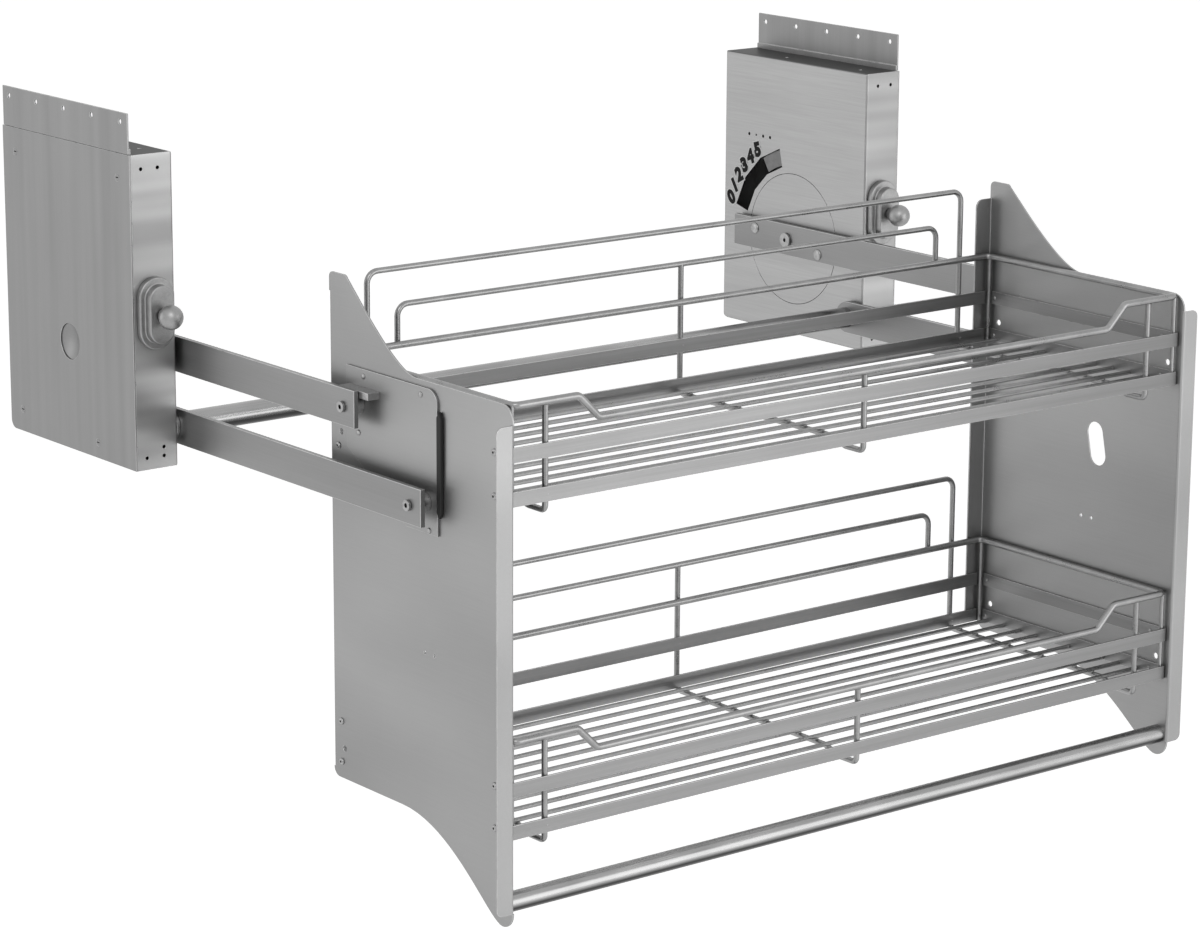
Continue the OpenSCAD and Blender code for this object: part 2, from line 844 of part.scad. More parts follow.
module basket_screw_set() {
  for (level = basket_levels)
    for (y = [fixing_front, fixing_back], rise = [high_band, low_band])
      translate([0, shelf_y + y, shelf_z + basket_floor + level + rise]) {
        bar_x(plate_in_x - band_t, 0, 0, fixing_r, band_t + frame_sheet, $fn = 24);
        bar_x(plate_x, 0, 0, fixing_head_r, fixing_head_t, $fn = 24);
      }
}

module handle_plug() {
  difference() {
    bar_x(plate_in_x - plug_len, shelf_y + handle_y, shelf_z + handle_z, handle_r - handle_wall, plug_len);
    bar_x(plate_in_x - plug_len - eps, shelf_y + handle_y, shelf_z + handle_z, handle_bolt_r,
      plug_len + 2 * eps, $fn = 24);
  }
}

module handle_bolt() {
  translate([0, shelf_y + handle_y, shelf_z + handle_z]) {
    bar_x(plate_in_x - plug_len + 2, 0, 0, handle_bolt_r, plug_len - 2 + frame_sheet, $fn = 24);
    translate([plate_x + head_t, 0, 0])
      mirror([1, 0, 0])
        socket_head(0, 0, 0, handle_head_r, head_t);
  }
}

module cross_band(y, rise) {
  translate([-band_in_x, y, rise - band_h / 2])
    cube([2 * band_in_x, band_t, band_h]);
}

// Foot of an upright, which turns under the floor
module foot_bend(x, y, turn) {
  translate([x, y, wire_bend - cross_drop])
    rotate([0, 90, 0])
      rotate(turn)
        elbow(wire_bend, upright_r);
}

// Where the front ring steps down towards the middle, with a rounded knuckle at each turn
module ring_step(high, low) {
  flat_x = dip_x - dip_run;
  bar_x(dip_x, ring_front_y, high, ring_r, ring_x - ring_bend - dip_x);
  for (spot = [[dip_x, high], [flat_x, low]])
    translate([spot[0], ring_front_y, spot[1]])
      sphere(r = ring_r + knuckle);
  translate([flat_x, ring_front_y, low])
    rotate([0, atan2(dip_run, dip), 0])
      cylinder(h = sqrt(dip * dip + dip_run * dip_run), r = ring_r);
}

// Everything in the front face of a basket, its floor at Z = 0
module basket_front() {
  high = ring_rise;
  low = ring_rise - dip;
  both()
    ring_step(high, low);
  bar_x(dip_run - dip_x, ring_front_y, low, ring_r, 2 * (dip_x - dip_run));
  cross_band(basket_front_y, high_band);
  cross_band(basket_front_y, low_band);
  foot = wire_bend - cross_drop;
  for (x = [-hoop_x, 0, hoop_x]) {
    bar_z(x, front_wire_y, foot, upright_r, (x == 0 ? low : high) - 1 - foot);
    foot_bend(x, front_wire_y + wire_bend, -90);
  }
}

// A hoop with two legs and rounded shoulders
module hoop(half, foot, top) {
  for (s = [-1, 1]) {
    bar_z(s * half, back_wire_y, foot, upright_r, top - hoop_bend - foot);
    translate([s * (half - hoop_bend), back_wire_y, top - hoop_bend])
      rotate([90, 0, 0])
        rotate(s > 0 ? 0 : 90)
          elbow(hoop_bend, upright_r);
  }
  bar_x(hoop_bend - half, back_wire_y, top, upright_r, 2 * (half - hoop_bend));
}

module basket_back() {
  foot = wire_bend - cross_drop;
  bar_x(ring_bend - ring_x, ring_back_y, ring_rise, ring_r, 2 * (ring_x - ring_bend));
  cross_band(basket_back_y - band_t, high_band);
  cross_band(basket_back_y - band_t, low_band);
  hoop(hoop_x, foot, hoop_rise);
  hoop(inner_x, ring_rise - ring_r, inner_rise);
  bar_z(0, back_wire_y, foot, upright_r, inner_rise - foot);
  for (x = [-hoop_x, 0, hoop_x])
    foot_bend(x, back_wire_y - wire_bend, 0);
}

module basket_side() {
  front = ring_front_y + ring_bend;
  back = ring_back_y - ring_bend;
  bar_y(ring_x, front, ring_rise, ring_r, back - front);
  translate([ring_x - ring_bend, back, ring_rise])
    elbow(ring_bend, ring_r);
  translate([ring_x - ring_bend, front, ring_rise])
    rotate(-90)
      elbow(ring_bend, ring_r);
  for (y = [corner_front_y, corner_back_y])
    bar_z(corner_rod_x, y, low_band - band_h / 2, corner_rod_r, ring_rise - low_band + band_h / 2);
  difference() {
    for (rise = [high_band, low_band])
      translate([band_in_x, basket_front_y, rise - band_h / 2])
        cube([band_t, basket_back_y - basket_front_y, band_h]);
    for (y = [fixing_front, fixing_back], rise = [high_band, low_band])
      bar_x(band_in_x - eps, shelf_y + y, rise, fixing_r, band_t + 2 * eps, $fn = 24);
  }
}

module basket_floor_grid() {
  first = basket_front_y + floor_margin;
  run = basket_back_y - basket_front_y - 2 * floor_margin;
  for (i = [0 : floor_wires - 1])
    bar_x(-band_in_x, first + run * i / (floor_wires - 1), 0, floor_r, 2 * band_in_x);
  start = front_wire_y + wire_bend;
  for (x = [-hoop_x, 0, hoop_x])
    bar_y(x, start, -cross_drop, upright_r, back_wire_y - wire_bend - start);
}

module at_upper() {
  translate([0, 0, upper_z])
    children();
}

module at_lower() {
  translate([0, 0, upper_z - basket_pitch])
    children();
}

module lock_knob() {
  difference() {
    union() {
      translate([knob_x, -knob_out, knob_z])
        sphere(d = knob_d, $fn = 64);
      bar_y(knob_x, -knob_out + knob_d / 2 - 1.5, knob_z, 6, 2.7);
    }
    bar_y(knob_x, rod_head_y, knob_z, rod_r, knob_out);
  }
}

module plunger() {
  bar_y(knob_x, rod_head_y, knob_z, rod_r, rod_tip_y - rod_head_y);
  bar_y(knob_x, collar_y, knob_z, collar_r, collar_t);
}

// The selector turns on the hub's sleeve and holds the spring's outer end
module selector() {
  stem_w = 8;
  difference() {
    union() {
      bar_x(selector_x, hub_y, hub_z, selector_ring_r, selector_t);
      translate([selector_x, hub_y, hub_z])
        rotate([flag_mid, 0, 0])
          translate([0, 0, -selector_w / 2])
            cube([selector_t, flag_out - 2, selector_w]);
    }
    bar_x(selector_x - eps, hub_y, hub_z, sleeve_r + 2 * run_gap, selector_t + 2 * eps);
  }
  translate([0, hub_y, hub_z])
    rotate([flag_mid, 0, 0]) {
      bar_x(spring_x - 0.5, post_at, 0, post_r, selector_x + selector_t - spring_x + 0.5);
      translate([flag_x, (flag_in + flag_out) / 2 - stem_w / 2, -stem_w / 2])
        cube([selector_x + selector_t - flag_x, stem_w, stem_w]);
    }
  difference() {
    sheet_x(flag_x, flag_t)
      polygon(concat(
        arc([hub_y, hub_z], flag_out, flag_mid - flag_angle / 2, flag_mid + flag_angle / 2),
        arc([hub_y, hub_z], flag_in, flag_mid + flag_angle / 2, flag_mid - flag_angle / 2)
      ));
  }
}

module power_spring() {
  steps = 36 * spring_turns;
  translate([0, hub_y, hub_z])
    rotate([flag_mid, 0, 0]) {
      sheet_x(spring_x, spring_width)
        polygon(concat(
          spiral(-spring_t / 2, steps),
          reversed(spiral(spring_t / 2, steps))
        ));
      difference() {
        bar_x(spring_x, post_at, 0, post_r + 1, spring_width);
        bar_x(spring_x - eps, post_at, 0, post_r, spring_width + 2 * eps);
      }
    }
}

module left_casing_shell() { color(steel) left() casing_shell(); }
module right_casing_shell() { color(steel) casing_shell(); }
module left_casing_back() { color(steel) left() casing_back(); }
module right_casing_back() { color(steel) casing_back(); }
module left_mounting_flange() { color(steel) left() mounting_flange(); }
module right_mounting_flange() { color(steel) mounting_flange(); }
module left_hub_axle() { color(bright) left() hub_axle(); }
module right_hub_axle() { color(bright) hub_axle(); }
module left_lower_pin() { color(bright) left() lower_pin(); }
module right_lower_pin() { color(bright) lower_pin(); }
module left_escutcheon() { color(bright) left() escutcheon(); }
module right_escutcheon() { color(bright) escutcheon(); }
module casing_pillars() { color(steel) both() casing_pillar_set(); }
module casing_screws() { color(bright) both() casing_screw_set(); }
module hub_bolts() { color(bright) both() hub_bolt(); }
module plunger_springs() { color(dark) both() plunger_spring(); }
module left_upper_arm() { color(wire) left() upper_arm(); }
module left_hub() { color(steel) left() hub(); }
module left_lock_disc() { color(dark) left() lock_disc(); }
module left_hub_rivets() { color(bright) left() hub_rivet_set(); }
module right_upper_arm() { color(wire) upper_arm(); }
module right_hub() { color(steel) hub(); }
module right_lock_disc() { color(dark) lock_disc(); }
module right_hub_rivets() { color(bright) hub_rivet_set(); }
module left_lower_arm() { color(wire) left() lower_arm(); }
module right_lower_arm() { color(wire) lower_arm(); }
module cross_tube() {
  color(bright)
    difference() {
      bar_x(-arm_in_x, lower_y, lower_z, tube_r, 2 * arm_in_x);
      bar_x(-arm_in_x - eps, lower_y, lower_z, tube_r - tube_wall, 2 * arm_in_x + 2 * eps);
    }
}
module tube_bushes() { color(nylon) both() tube_bush(); }
module left_side_plate() { color(steel) left() side_plate(); }
module right_side_plate() {
  color(steel)
    difference() {
      side_plate();
      plate_slot();
    }
}
module left_pivot_bracket() { color(steel) left() pivot_bracket(); }
module right_pivot_bracket() { color(steel) pivot_bracket(); }
module pivot_posts() { color(bright) both() pivot_post_set(); }
module pivot_bolts() { color(bright) both() pivot_bolt_set(); }
module stop_tabs() { color(steel) both() stop_tab(); }
module bracket_rivets() { color(bright) both() bracket_rivet_set(); }
module buffer_strips() { color(rubber) both() buffer_strip(); }
module basket_screws() { color(bright) both() basket_screw_set(); }
module handle_tube() {
  color(bright)
    difference() {
      bar_x(-plate_in_x, shelf_y + handle_y, shelf_z + handle_z, handle_r, 2 * plate_in_x);
      bar_x(-plate_in_x - eps, shelf_y + handle_y, shelf_z + handle_z, handle_r - handle_wall,
        2 * plate_in_x + 2 * eps);
    }
}
module handle_plugs() { color(nylon) both() handle_plug(); }
module handle_bolts() { color(bright) both() handle_bolt(); }
module upper_basket_front() { color(wire) at_upper() basket_front(); }
module upper_basket_back() { color(wire) at_upper() basket_back(); }
module upper_basket_sides() { color(wire) at_upper() both() basket_side(); }
module upper_basket_floor() { color(wire) at_upper() basket_floor_grid(); }
module lower_basket_front() { color(wire) at_lower() basket_front(); }
module lower_basket_back() { color(wire) at_lower() basket_back(); }
module lower_basket_sides() { color(wire) at_lower() both() basket_side(); }
module lower_basket_floor() { color(wire) at_lower() basket_floor_grid(); }
module left_lock_knob() { color(bright) left() lock_knob(); }
module left_plunger() { color(bright) left() plunger(); }
module right_lock_knob() { color(bright) lock_knob(); }
module right_plunger() { color(bright) plunger(); }
module left_selector() { color(dark) left() selector(); }
module left_power_spring() { color(dark) left() power_spring(); }
module right_selector() { color(dark) selector(); }
module right_power_spring() { color(dark) power_spring(); }

left_casing_shell();
right_casing_shell();
left_casing_back();
right_casing_back();
left_mounting_flange();
right_mounting_flange();
left_hub_axle();
right_hub_axle();
left_lower_pin();
right_lower_pin();
left_escutcheon();
right_escutcheon();
casing_pillars();
casing_screws();
hub_bolts();
plunger_springs();
left_upper_arm();
left_hub();
left_lock_disc();
left_hub_rivets();
right_upper_arm();
right_hub();
right_lock_disc();
right_hub_rivets();
left_lower_arm();
right_lower_arm();
cross_tube();
tube_bushes();
left_side_plate();
right_side_plate();
left_pivot_bracket();
right_pivot_bracket();
pivot_posts();
pivot_bolts();
stop_tabs();
bracket_rivets();
buffer_strips();
basket_screws();
handle_tube();
handle_plugs();
handle_bolts();
upper_basket_front();
upper_basket_back();
upper_basket_sides();
upper_basket_floor();
lower_basket_front();
lower_basket_back();
lower_basket_sides();
lower_basket_floor();
left_lock_knob();
left_plunger();
right_lock_knob();
right_plunger();
left_selector();
left_power_spring();
right_selector();
right_power_spring();
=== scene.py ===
# %% [markdown]
# # A pull-down wardrobe lift in satin steel
#
# Two casings are screwed to the walls of a tall cabinet. Flat arms swing from them and carry
# two wire baskets between side plates, with a pull bar below. The solids and the joints come
# from a imported CAD model. This lesson dresses them: it rounds pressed edges, bends and welds
# the wires, sets the small fasteners and gives every surface its finish, with some light and
# shade painted into a few of them.

# %% Load the imported model
import math

import bmesh
import bpy
from mathutils import Matrix, Vector
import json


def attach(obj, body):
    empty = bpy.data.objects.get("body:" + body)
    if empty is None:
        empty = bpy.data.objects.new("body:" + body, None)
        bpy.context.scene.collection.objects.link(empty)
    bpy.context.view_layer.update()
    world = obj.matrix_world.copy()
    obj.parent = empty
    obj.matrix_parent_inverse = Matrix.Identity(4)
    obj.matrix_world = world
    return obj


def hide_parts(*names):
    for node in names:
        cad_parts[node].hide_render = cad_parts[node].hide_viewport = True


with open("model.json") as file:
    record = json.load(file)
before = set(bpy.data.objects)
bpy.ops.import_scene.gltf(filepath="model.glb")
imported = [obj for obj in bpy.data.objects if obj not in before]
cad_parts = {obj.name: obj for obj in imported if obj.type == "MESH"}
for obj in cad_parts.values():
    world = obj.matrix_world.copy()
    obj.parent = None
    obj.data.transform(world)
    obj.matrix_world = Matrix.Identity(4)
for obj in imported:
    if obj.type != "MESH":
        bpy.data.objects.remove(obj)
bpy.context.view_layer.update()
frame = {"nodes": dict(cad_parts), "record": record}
slot_of = {part["node"]: part["material_slot"] for part in frame["record"]["subparts"]}
bodies = frame["record"]["behaviour"]["bodies"]
body_of = {node: body for body, nodes in bodies.items() for node in nodes}

# %% [markdown]
# ## The camera
#
# The photograph was taken with a long lens from the front left and a little above. A long lens
# flattens the perspective, which is why the far casing looks nearly as big as the near one. A
# camera that is aimed by eye would need many tries. This one was worked out from points that
# show in the photograph, as a direction, a distance and a focal length.

# %% Make an object from its data and put it into the scene
def placed(name, data):
    thing = bpy.data.objects.new(name, data)
    bpy.context.collection.objects.link(thing)
    return thing


# %% Place the camera
azimuth, elevation, roll = (math.radians(angle) for angle in (-38.072, 13.817, 0.308))
distance, to_the_right, downwards = 3.5799, 0.052931, 0.061367
focal_px, picture_width_px = 3913.98, 1200
level, rise = math.cos(elevation), math.sin(elevation)
back = Vector((math.sin(azimuth) * level, -math.cos(azimuth) * level, rise))
level_right = Vector((math.cos(azimuth), math.sin(azimuth), 0))
level_up = back.cross(level_right)
right = level_right * math.cos(roll) + level_up * math.sin(roll)
up = level_up * math.cos(roll) - level_right * math.sin(roll)
lens = bpy.data.cameras.new("photograph_view")
lens.sensor_fit = "HORIZONTAL"
lens.sensor_width = 36
lens.lens = focal_px / picture_width_px * lens.sensor_width
camera = placed("photograph_view", lens)
camera.matrix_world = Matrix((right, up, back)).transposed().to_4x4()
camera.matrix_world.translation = back * distance + right * to_the_right - up * downwards
bpy.context.scene.camera = camera
away = camera.matrix_world.translation.length
print(f"The lens is {lens.lens:.1f} mm long and stands {away:.2f} m away")

# %% [markdown]
# ## Colours and nodes
#
# The colours are written as on a paint card, in hex. Cycles reckons in linear light, so one
# function turns each into that. A second one adds any shader or geometry node with its
# settings and its links, which keeps every material short enough to read as a recipe.

# %% Turn a hex colour into linear light
def linear(colour):
    channels = [int(colour[i:i + 2], 16) / 255 for i in (1, 3, 5)]
    return [c / 12.92 if c <= 0.04045 else ((c + 0.055) / 1.055) ** 2.4 for c in channels] + [1]


# %% Add one node, set it and link what feeds it
def add(tree, kind, feeds=None, **settings):
    made = tree.nodes.new(kind)
    for name, value in settings.items():
        setattr(made, name, value)
    for name, value in (feeds or {}).items():
        if isinstance(value, bpy.types.NodeSocket):
            tree.links.new(value, made.inputs[name])
        else:
            made.inputs[name].default_value = value
    return made


# %% Start a finish with its shader
def new_finish(name, **constants):
    finish = bpy.data.materials.new(name)
    finish.use_nodes = True
    tree = finish.node_tree
    shader = tree.nodes["Principled BSDF"]
    for socket, value in constants.items():
        shader.inputs[socket.replace("_", " ")].default_value = value
    place = add(tree, "ShaderNodeTexCoord").outputs["Object"]
    return finish, tree, shader, place


# %% [markdown]
# ## Grain
#
# Brushed steel gets its look from thousands of fine scratches that all run one way. They could
# be drawn as an image, but a noise that is stretched along one axis gives the same thing at
# any size. Each pattern below is told how far one streak reaches along each axis, in
# millimetres. Real scratches are about 0.1 mm wide, which is far too fine to show in a picture
# of the whole fitting, so they are drawn about 1 mm wide.

# %% A noise with its feature size in millimetres along X, Y and Z
def grain(tree, place, reach_mm, detail=3.0):
    per_metre = [1000 / mm for mm in reach_mm]
    scaled = add(tree, "ShaderNodeMapping", {"Vector": place, "Scale": per_metre}).outputs["Vector"]
    return add(tree, "ShaderNodeTexNoise", {"Vector": scaled, "Scale": 1.0, "Detail": detail,
                                            "Roughness": 0.55}).outputs["Fac"]


# %% Let a pattern swing a value between two ends
def swing(tree, factor, low, high, start=0.3, stop=0.7):
    return add(tree, "ShaderNodeMapRange", {"Value": factor, "From Min": start, "From Max": stop,
                                            "To Min": low, "To Max": high}).outputs["Result"]


# %% Let a pattern swing a shader's colour between two hex colours
def tint(tree, shader, factor, dark, light):
    colour = add(tree, "ShaderNodeMix", {0: factor, 6: linear(dark), 7: linear(light)},
                 data_type="RGBA").outputs[2]
    tree.links.new(colour, shader.inputs["Base Color"])
    return colour


# %% Raise the surface a little where a pattern is light
def relief(tree, shader, height, depth_mm):
    bump = add(tree, "ShaderNodeBump", {"Height": height, "Distance": depth_mm / 1000,
                                        "Strength": 1.0})
    tree.links.new(bump.outputs["Normal"], shader.inputs["Normal"])


# %% [markdown]
# ## Brushed stainless sheet
#
# The casings, plates and bands are cold-rolled stainless sheet, brushed with a belt. To the eye
# that is a mid grey metal with a soft sheen, fine streaks one way, and broad, faint bands where
# the belt pressed harder. Handling leaves soft patches that are a little duller. So three
# noises share the work: streaks, bands and patches. A plain metal with one roughness would
# look like painted plastic here. The casing's shell is folded from one blank. Its narrow front
# gets wide painted reflection bands, and its top fold a painted shade, duller and darker than
# the rest. The surface normal tells those faces apart. Seen at a shallow angle, any steel turns
# bright, so Specular Tint holds that back on the top fold, which is painted shade as well.

# %% Paint light and shade by face: reflection bands on the front, shade on the top fold
front_painted_reflection_banding, top_painted_shade_tint, fold_turn = 0.85, 0.5, (0.6, 0.8)


def tone_folds(tree, shader, sheet, streaks, bands, front_reflection_tones, top_shade_tones):
    # The front's bands are painted reflections; the top fold's darker tones and cut Specular Tint
    # are painted shade.
    normal = add(tree, "ShaderNodeNewGeometry").outputs["Normal"]
    axes = add(tree, "ShaderNodeSeparateXYZ", {"Vector": normal}).outputs
    wide = add(tree, "ShaderNodeMix", {0: front_painted_reflection_banding, 2: streaks, 3: bands}).outputs["Result"]
    strip = swing(tree, wide, 0.0, 1.0)
    for axis, (dark, light), pattern in (("Y", front_reflection_tones, strip), ("Z", top_shade_tones, streaks)):
        facing = add(tree, "ShaderNodeMath", {0: axes[axis]}, operation="ABSOLUTE").outputs["Value"]
        colour = add(tree, "ShaderNodeMix", {0: pattern, 6: linear(dark), 7: linear(light)},
                     data_type="RGBA").outputs[2]
        share = swing(tree, facing, 0.0, 1.0, *fold_turn)
        sheet = add(tree, "ShaderNodeMix", {0: share, 6: sheet, 7: colour},
                    data_type="RGBA").outputs[2]
    tree.links.new(sheet, shader.inputs["Base Color"])
    tree.links.new(swing(tree, facing, 1.0, top_painted_shade_tint, *fold_turn), shader.inputs["Specular Tint"])


# %% Brushed sheet, with the reach of its streaks and of its broad bands
faint, handled_mm, wear = (0.42, 0.58), (70, 70, 70), 0.02


def brushed_steel(name, dark, light, roughness, streak_mm, band_mm, banding=0.4, painted_fold_tones=None):
    finish, tree, shader, place = new_finish(name, Metallic=1.0)
    scratches = grain(tree, place, streak_mm)
    streaks = swing(tree, scratches, *faint)
    bands = grain(tree, place, band_mm, detail=1.0)
    patches = grain(tree, place, handled_mm, detail=2.0)
    tone = add(tree, "ShaderNodeMix", {0: banding, 2: streaks, 3: bands}).outputs["Result"]
    sheet = tint(tree, shader, swing(tree, tone, 0.0, 1.0), dark, light)
    if painted_fold_tones:
        tone_folds(tree, shader, sheet, streaks, bands, *painted_fold_tones)
    scuffs = swing(tree, scratches, -wear, wear)
    handling = swing(tree, patches, roughness - wear, roughness + wear)
    dullness = add(tree, "ShaderNodeMath", {0: scuffs, 1: handling},
                   operation="ADD").outputs["Value"]
    tree.links.new(dullness, shader.inputs["Roughness"])
    relief(tree, shader, scratches, depth_mm=0.005)
    return finish


# %% Mix the four brushed finishes
# The casing's front tones are painted reflection bands and its top tones are painted shade.
painted_front_and_top_tones = (("#8A8A8A", "#B0B0B0"), ("#626262", "#747474"))
casing_steel = brushed_steel("brushed_stainless_casing", "#959595", "#B1B1B1", 0.42,
                             (60, 60, 1.0), (400, 400, 24), banding=0.15, painted_fold_tones=painted_front_and_top_tones)
back_steel = brushed_steel("brushed_stainless_upright", "#808080", "#939393", 0.44,
                           (1.2, 1.2, 90), (16, 16, 500))
plate_steel = brushed_steel("brushed_stainless_plate", "#8D8D8D", "#A3A3A3", 0.43,
                            (1.0, 60, 1.0), (300, 300, 110), banding=0.6)
arm_steel = brushed_steel("satin_flat_bar", "#7C7C7C", "#929292", 0.40,
                          (1.0, 80, 0.8), (40, 300, 40))
print("Four brushed sheets and bars are mixed")

# %% [markdown]
# ## Sheared edges
#
# Where a sheet has been cut and deburred, its edge is a thin, bright, rounded line, because the
# tool has polished it and every hand that passes keeps it polished. It could be painted on with
# a mask. Here each edge gets a real small bevel instead, and the bevel takes its own smoother
# finish for that polish. Its colour is also lighter than the sheet's, a painted highlight, so the
# line of light sits exactly on the edge from every side.

# %% The polished cut edge, lighter in colour as a painted highlight
edge_polish_and_painted_highlight, tree, shader, place = new_finish("burnished_cut_edge", Metallic=1.0)
nicks = grain(tree, place, (9, 9, 9), detail=4.0)
# The lighter colour is a painted highlight; the lower roughness is the real polish.
tint(tree, shader, swing(tree, nicks, 0.0, 1.0), "#A4A4A4", "#C4C4C4")
tree.links.new(swing(tree, nicks, 0.24, 0.38), shader.inputs["Roughness"])
print("The cut edge is mixed")

# %% [markdown]
# ## Drawn wire and bright tube
#
# The basket wires are drawn steel, nickel-plated after welding, so they are a shade lighter and
# smoother than the sheet, with faint lines along them and a slight cloudiness from the bath.
# The pull bar is the same plating on a polished tube. Screws, bolts and knobs are plated
# steel from a barrel, which leaves them satin with tiny scuffs all over.

# %% A plated finish: smooth metal with cloudy patches and a fine scuff
cloudiness = 0.6


def plated(name, dark, light, roughness, scuff_mm, cloud_mm):
    finish, tree, shader, place = new_finish(name, Metallic=1.0)
    scuffs = grain(tree, place, scuff_mm, detail=4.0)
    clouds = grain(tree, place, (cloud_mm, cloud_mm, cloud_mm), detail=2.0)
    tone = add(tree, "ShaderNodeMix", {0: cloudiness, 2: scuffs, 3: clouds}).outputs["Result"]
    tint(tree, shader, swing(tree, tone, 0.0, 1.0), dark, light)
    dullness = swing(tree, tone, roughness - 0.05, roughness + 0.06)
    tree.links.new(dullness, shader.inputs["Roughness"])
    relief(tree, shader, scuffs, depth_mm=0.006)
    return finish


# %% Mix the plated finishes, and the flat strip of the bands
wire_nickel = plated("satin_nickel_wire", "#838383", "#9E9E9E", 0.30, (1.5, 1.5, 1.5), 26)
band_steel = brushed_steel("brushed_flat_band", "#7A7A7A", "#919191", 0.36,
                           (90, 90, 0.8), (260, 260, 5), banding=0.3)
tube_chrome = plated("satin_chrome_tube", "#8F8F8F", "#A9A9A9", 0.24, (30, 0.8, 0.8), 60)
knob_nickel = plated("satin_nickel_knob", "#8A8A8A", "#A4A4A4", 0.40, (0.9, 0.9, 0.9), 9)
zinc = plated("bright_zinc_fastener", "#8B8B8B", "#AFAFAF", 0.30, (0.7, 0.7, 0.7), 3)
spring_steel = plated("oiled_spring_steel", "#606060", "#787878", 0.34, (1, 1, 1), 8)
print("Six more finishes are mixed")

# %% [markdown]
# ## Painted shade on the underside and in the sockets
#
# The pull bar is bright above and dark along its underside, where it mirrors the shade below
# it. A hex socket is nearly black, because little light gets in. In a white studio both would
# come out bright. Lamps could be moved until they fell dark, but that would change every other
# surface too. So the shade is painted into the finish itself: a painted reflection of the dark
# below on the bar wherever the surface looks down, and painted shade on the fasteners wherever
# the Ambient Occlusion node finds the surface shut in by the piece's own shape, within 3 mm.

# %% Paint shade into a finish where a mask is white
def darken(finish, mask, darker):
    tree = finish.node_tree
    base = tree.nodes["Principled BSDF"].inputs["Base Color"]
    mixed = add(tree, "ShaderNodeMix", {0: mask, 6: base.links[0].from_socket, 7: linear(darker)},
                data_type="RGBA")
    tree.links.new(mixed.outputs[2], base)


# %% Paint a dark reflection on the bar's underside and shade into the fasteners' sockets
tree = tube_chrome.node_tree
normal = add(tree, "ShaderNodeNewGeometry").outputs["Normal"]
height = add(tree, "ShaderNodeSeparateXYZ", {"Vector": normal}).outputs["Z"]
underside_painted_reflection = swing(tree, height, 1.0, 0.0, start=-0.35, stop=0.0)
# Painted reflection: the underside is darker only because it mirrors the shade below.
darken(tube_chrome, underside_painted_reflection, "#383838")
tree = zinc.node_tree
open_sky = add(tree, "ShaderNodeAmbientOcclusion", {"Distance": 0.003}, samples=8,
               only_local=True).outputs["AO"]
# Painted shade: the sockets are darker where the piece's own shape shuts out the light.
socket_painted_shade = swing(tree, open_sky, 1.0, 0.0, start=0.62, stop=0.95)
darken(zinc, socket_painted_shade, "#121212")
print("The bar's underside and the sockets are darkened")

# %% [markdown]
# ## Rubber, nylon and ink
#
# The buffer strip is moulded rubber: almost black, dull, with a faint pebbled skin. The bushes
# are moulded nylon, milky and slightly translucent at the edge, which a soft sheen is enough to
# tell. The numbers on the dial are printed ink: matt black with a pale keyline, and thin spots
# where the pad did not press fully.

# %% Moulded and printed finishes
def moulded(name, dark, light, roughness, pebble_mm, depth_mm):
    finish, tree, shader, place = new_finish(name, IOR=1.5)
    pebbles = grain(tree, place, (pebble_mm, pebble_mm, pebble_mm), detail=2.0)
    tint(tree, shader, swing(tree, pebbles, 0.0, 1.0), dark, light)
    dullness = swing(tree, pebbles, roughness - 0.08, roughness + 0.08)
    tree.links.new(dullness, shader.inputs["Roughness"])
    relief(tree, shader, pebbles, depth_mm)
    return finish


# %% Mix the rubber, the nylon and both inks
rubber = moulded("black_moulded_rubber", "#0D0D0D", "#1C1C1C", 0.72, 0.9, 0.03)
nylon = moulded("natural_moulded_nylon", "#8A8883", "#9C9A95", 0.48, 2.5, 0.01)
black_ink = moulded("black_pad_print", "#0A0A0A", "#161616", 0.55, 1.2, 0.004)
pale_ink = moulded("pale_pad_print", "#C9C9C9", "#DCDCDC", 0.55, 1.2, 0.004)
black_ink.node_tree.nodes["Principled BSDF"].inputs["Specular IOR Level"].default_value = 0.12
print("Four moulded and printed finishes are mixed")

# %% [markdown]
# ## Which solid wears what
#
# Every solid that keeps its CAD shape gets its finish here, through its material slot. The
# loose triangles of a CAD mesh are never edited. Solids whose shape is improved further down
# are copied or rebuilt, and the new piece then stands for them.

# %% Finish the solids by name
finish_of_slot = {"casing_steel": casing_steel, "plate_steel": plate_steel, "arm_steel": arm_steel,
                  "wire_steel": wire_nickel, "tube_steel": tube_chrome, "bright_metal": knob_nickel,
                  "fastener_steel": zinc, "spring_steel": spring_steel, "buffer_rubber": rubber,
                  "nylon": nylon}
finish_of = {node: finish_of_slot[slot_of[node]] for node in slot_of}
for side in ("left", "right"):
    finish_of[f"{side}_casing_back"] = finish_of[f"{side}_mounting_flange"] = back_steel
    finish_of[f"{side}_hub_axle"] = arm_steel
finish_of["casing_screws"] = back_steel
for node, solid in frame["nodes"].items():
    for material_slot in solid.material_slots:
        material_slot.material = finish_of[node]
print(len(frame["nodes"]), "solids are finished")

# %% [markdown]
# ## Bake, then let it ride
#
# A piece that comes out of modifiers or Geometry Nodes is turned into a plain mesh before it
# is handed over, so that it holds what was seen. Every piece then rides on the body
# that really carries it, so it moves when the lift is pulled down.

# %% Turn an object with modifiers into a plain mesh
def baked(source, name):
    bpy.context.view_layer.update()
    graph = bpy.context.evaluated_depsgraph_get()
    mesh = bpy.data.meshes.new_from_object(source.evaluated_get(graph), depsgraph=graph,
                                           preserve_all_data_layers=True)
    mesh.name = name
    bpy.data.objects.remove(source, do_unlink=True)
    return placed(name, mesh)


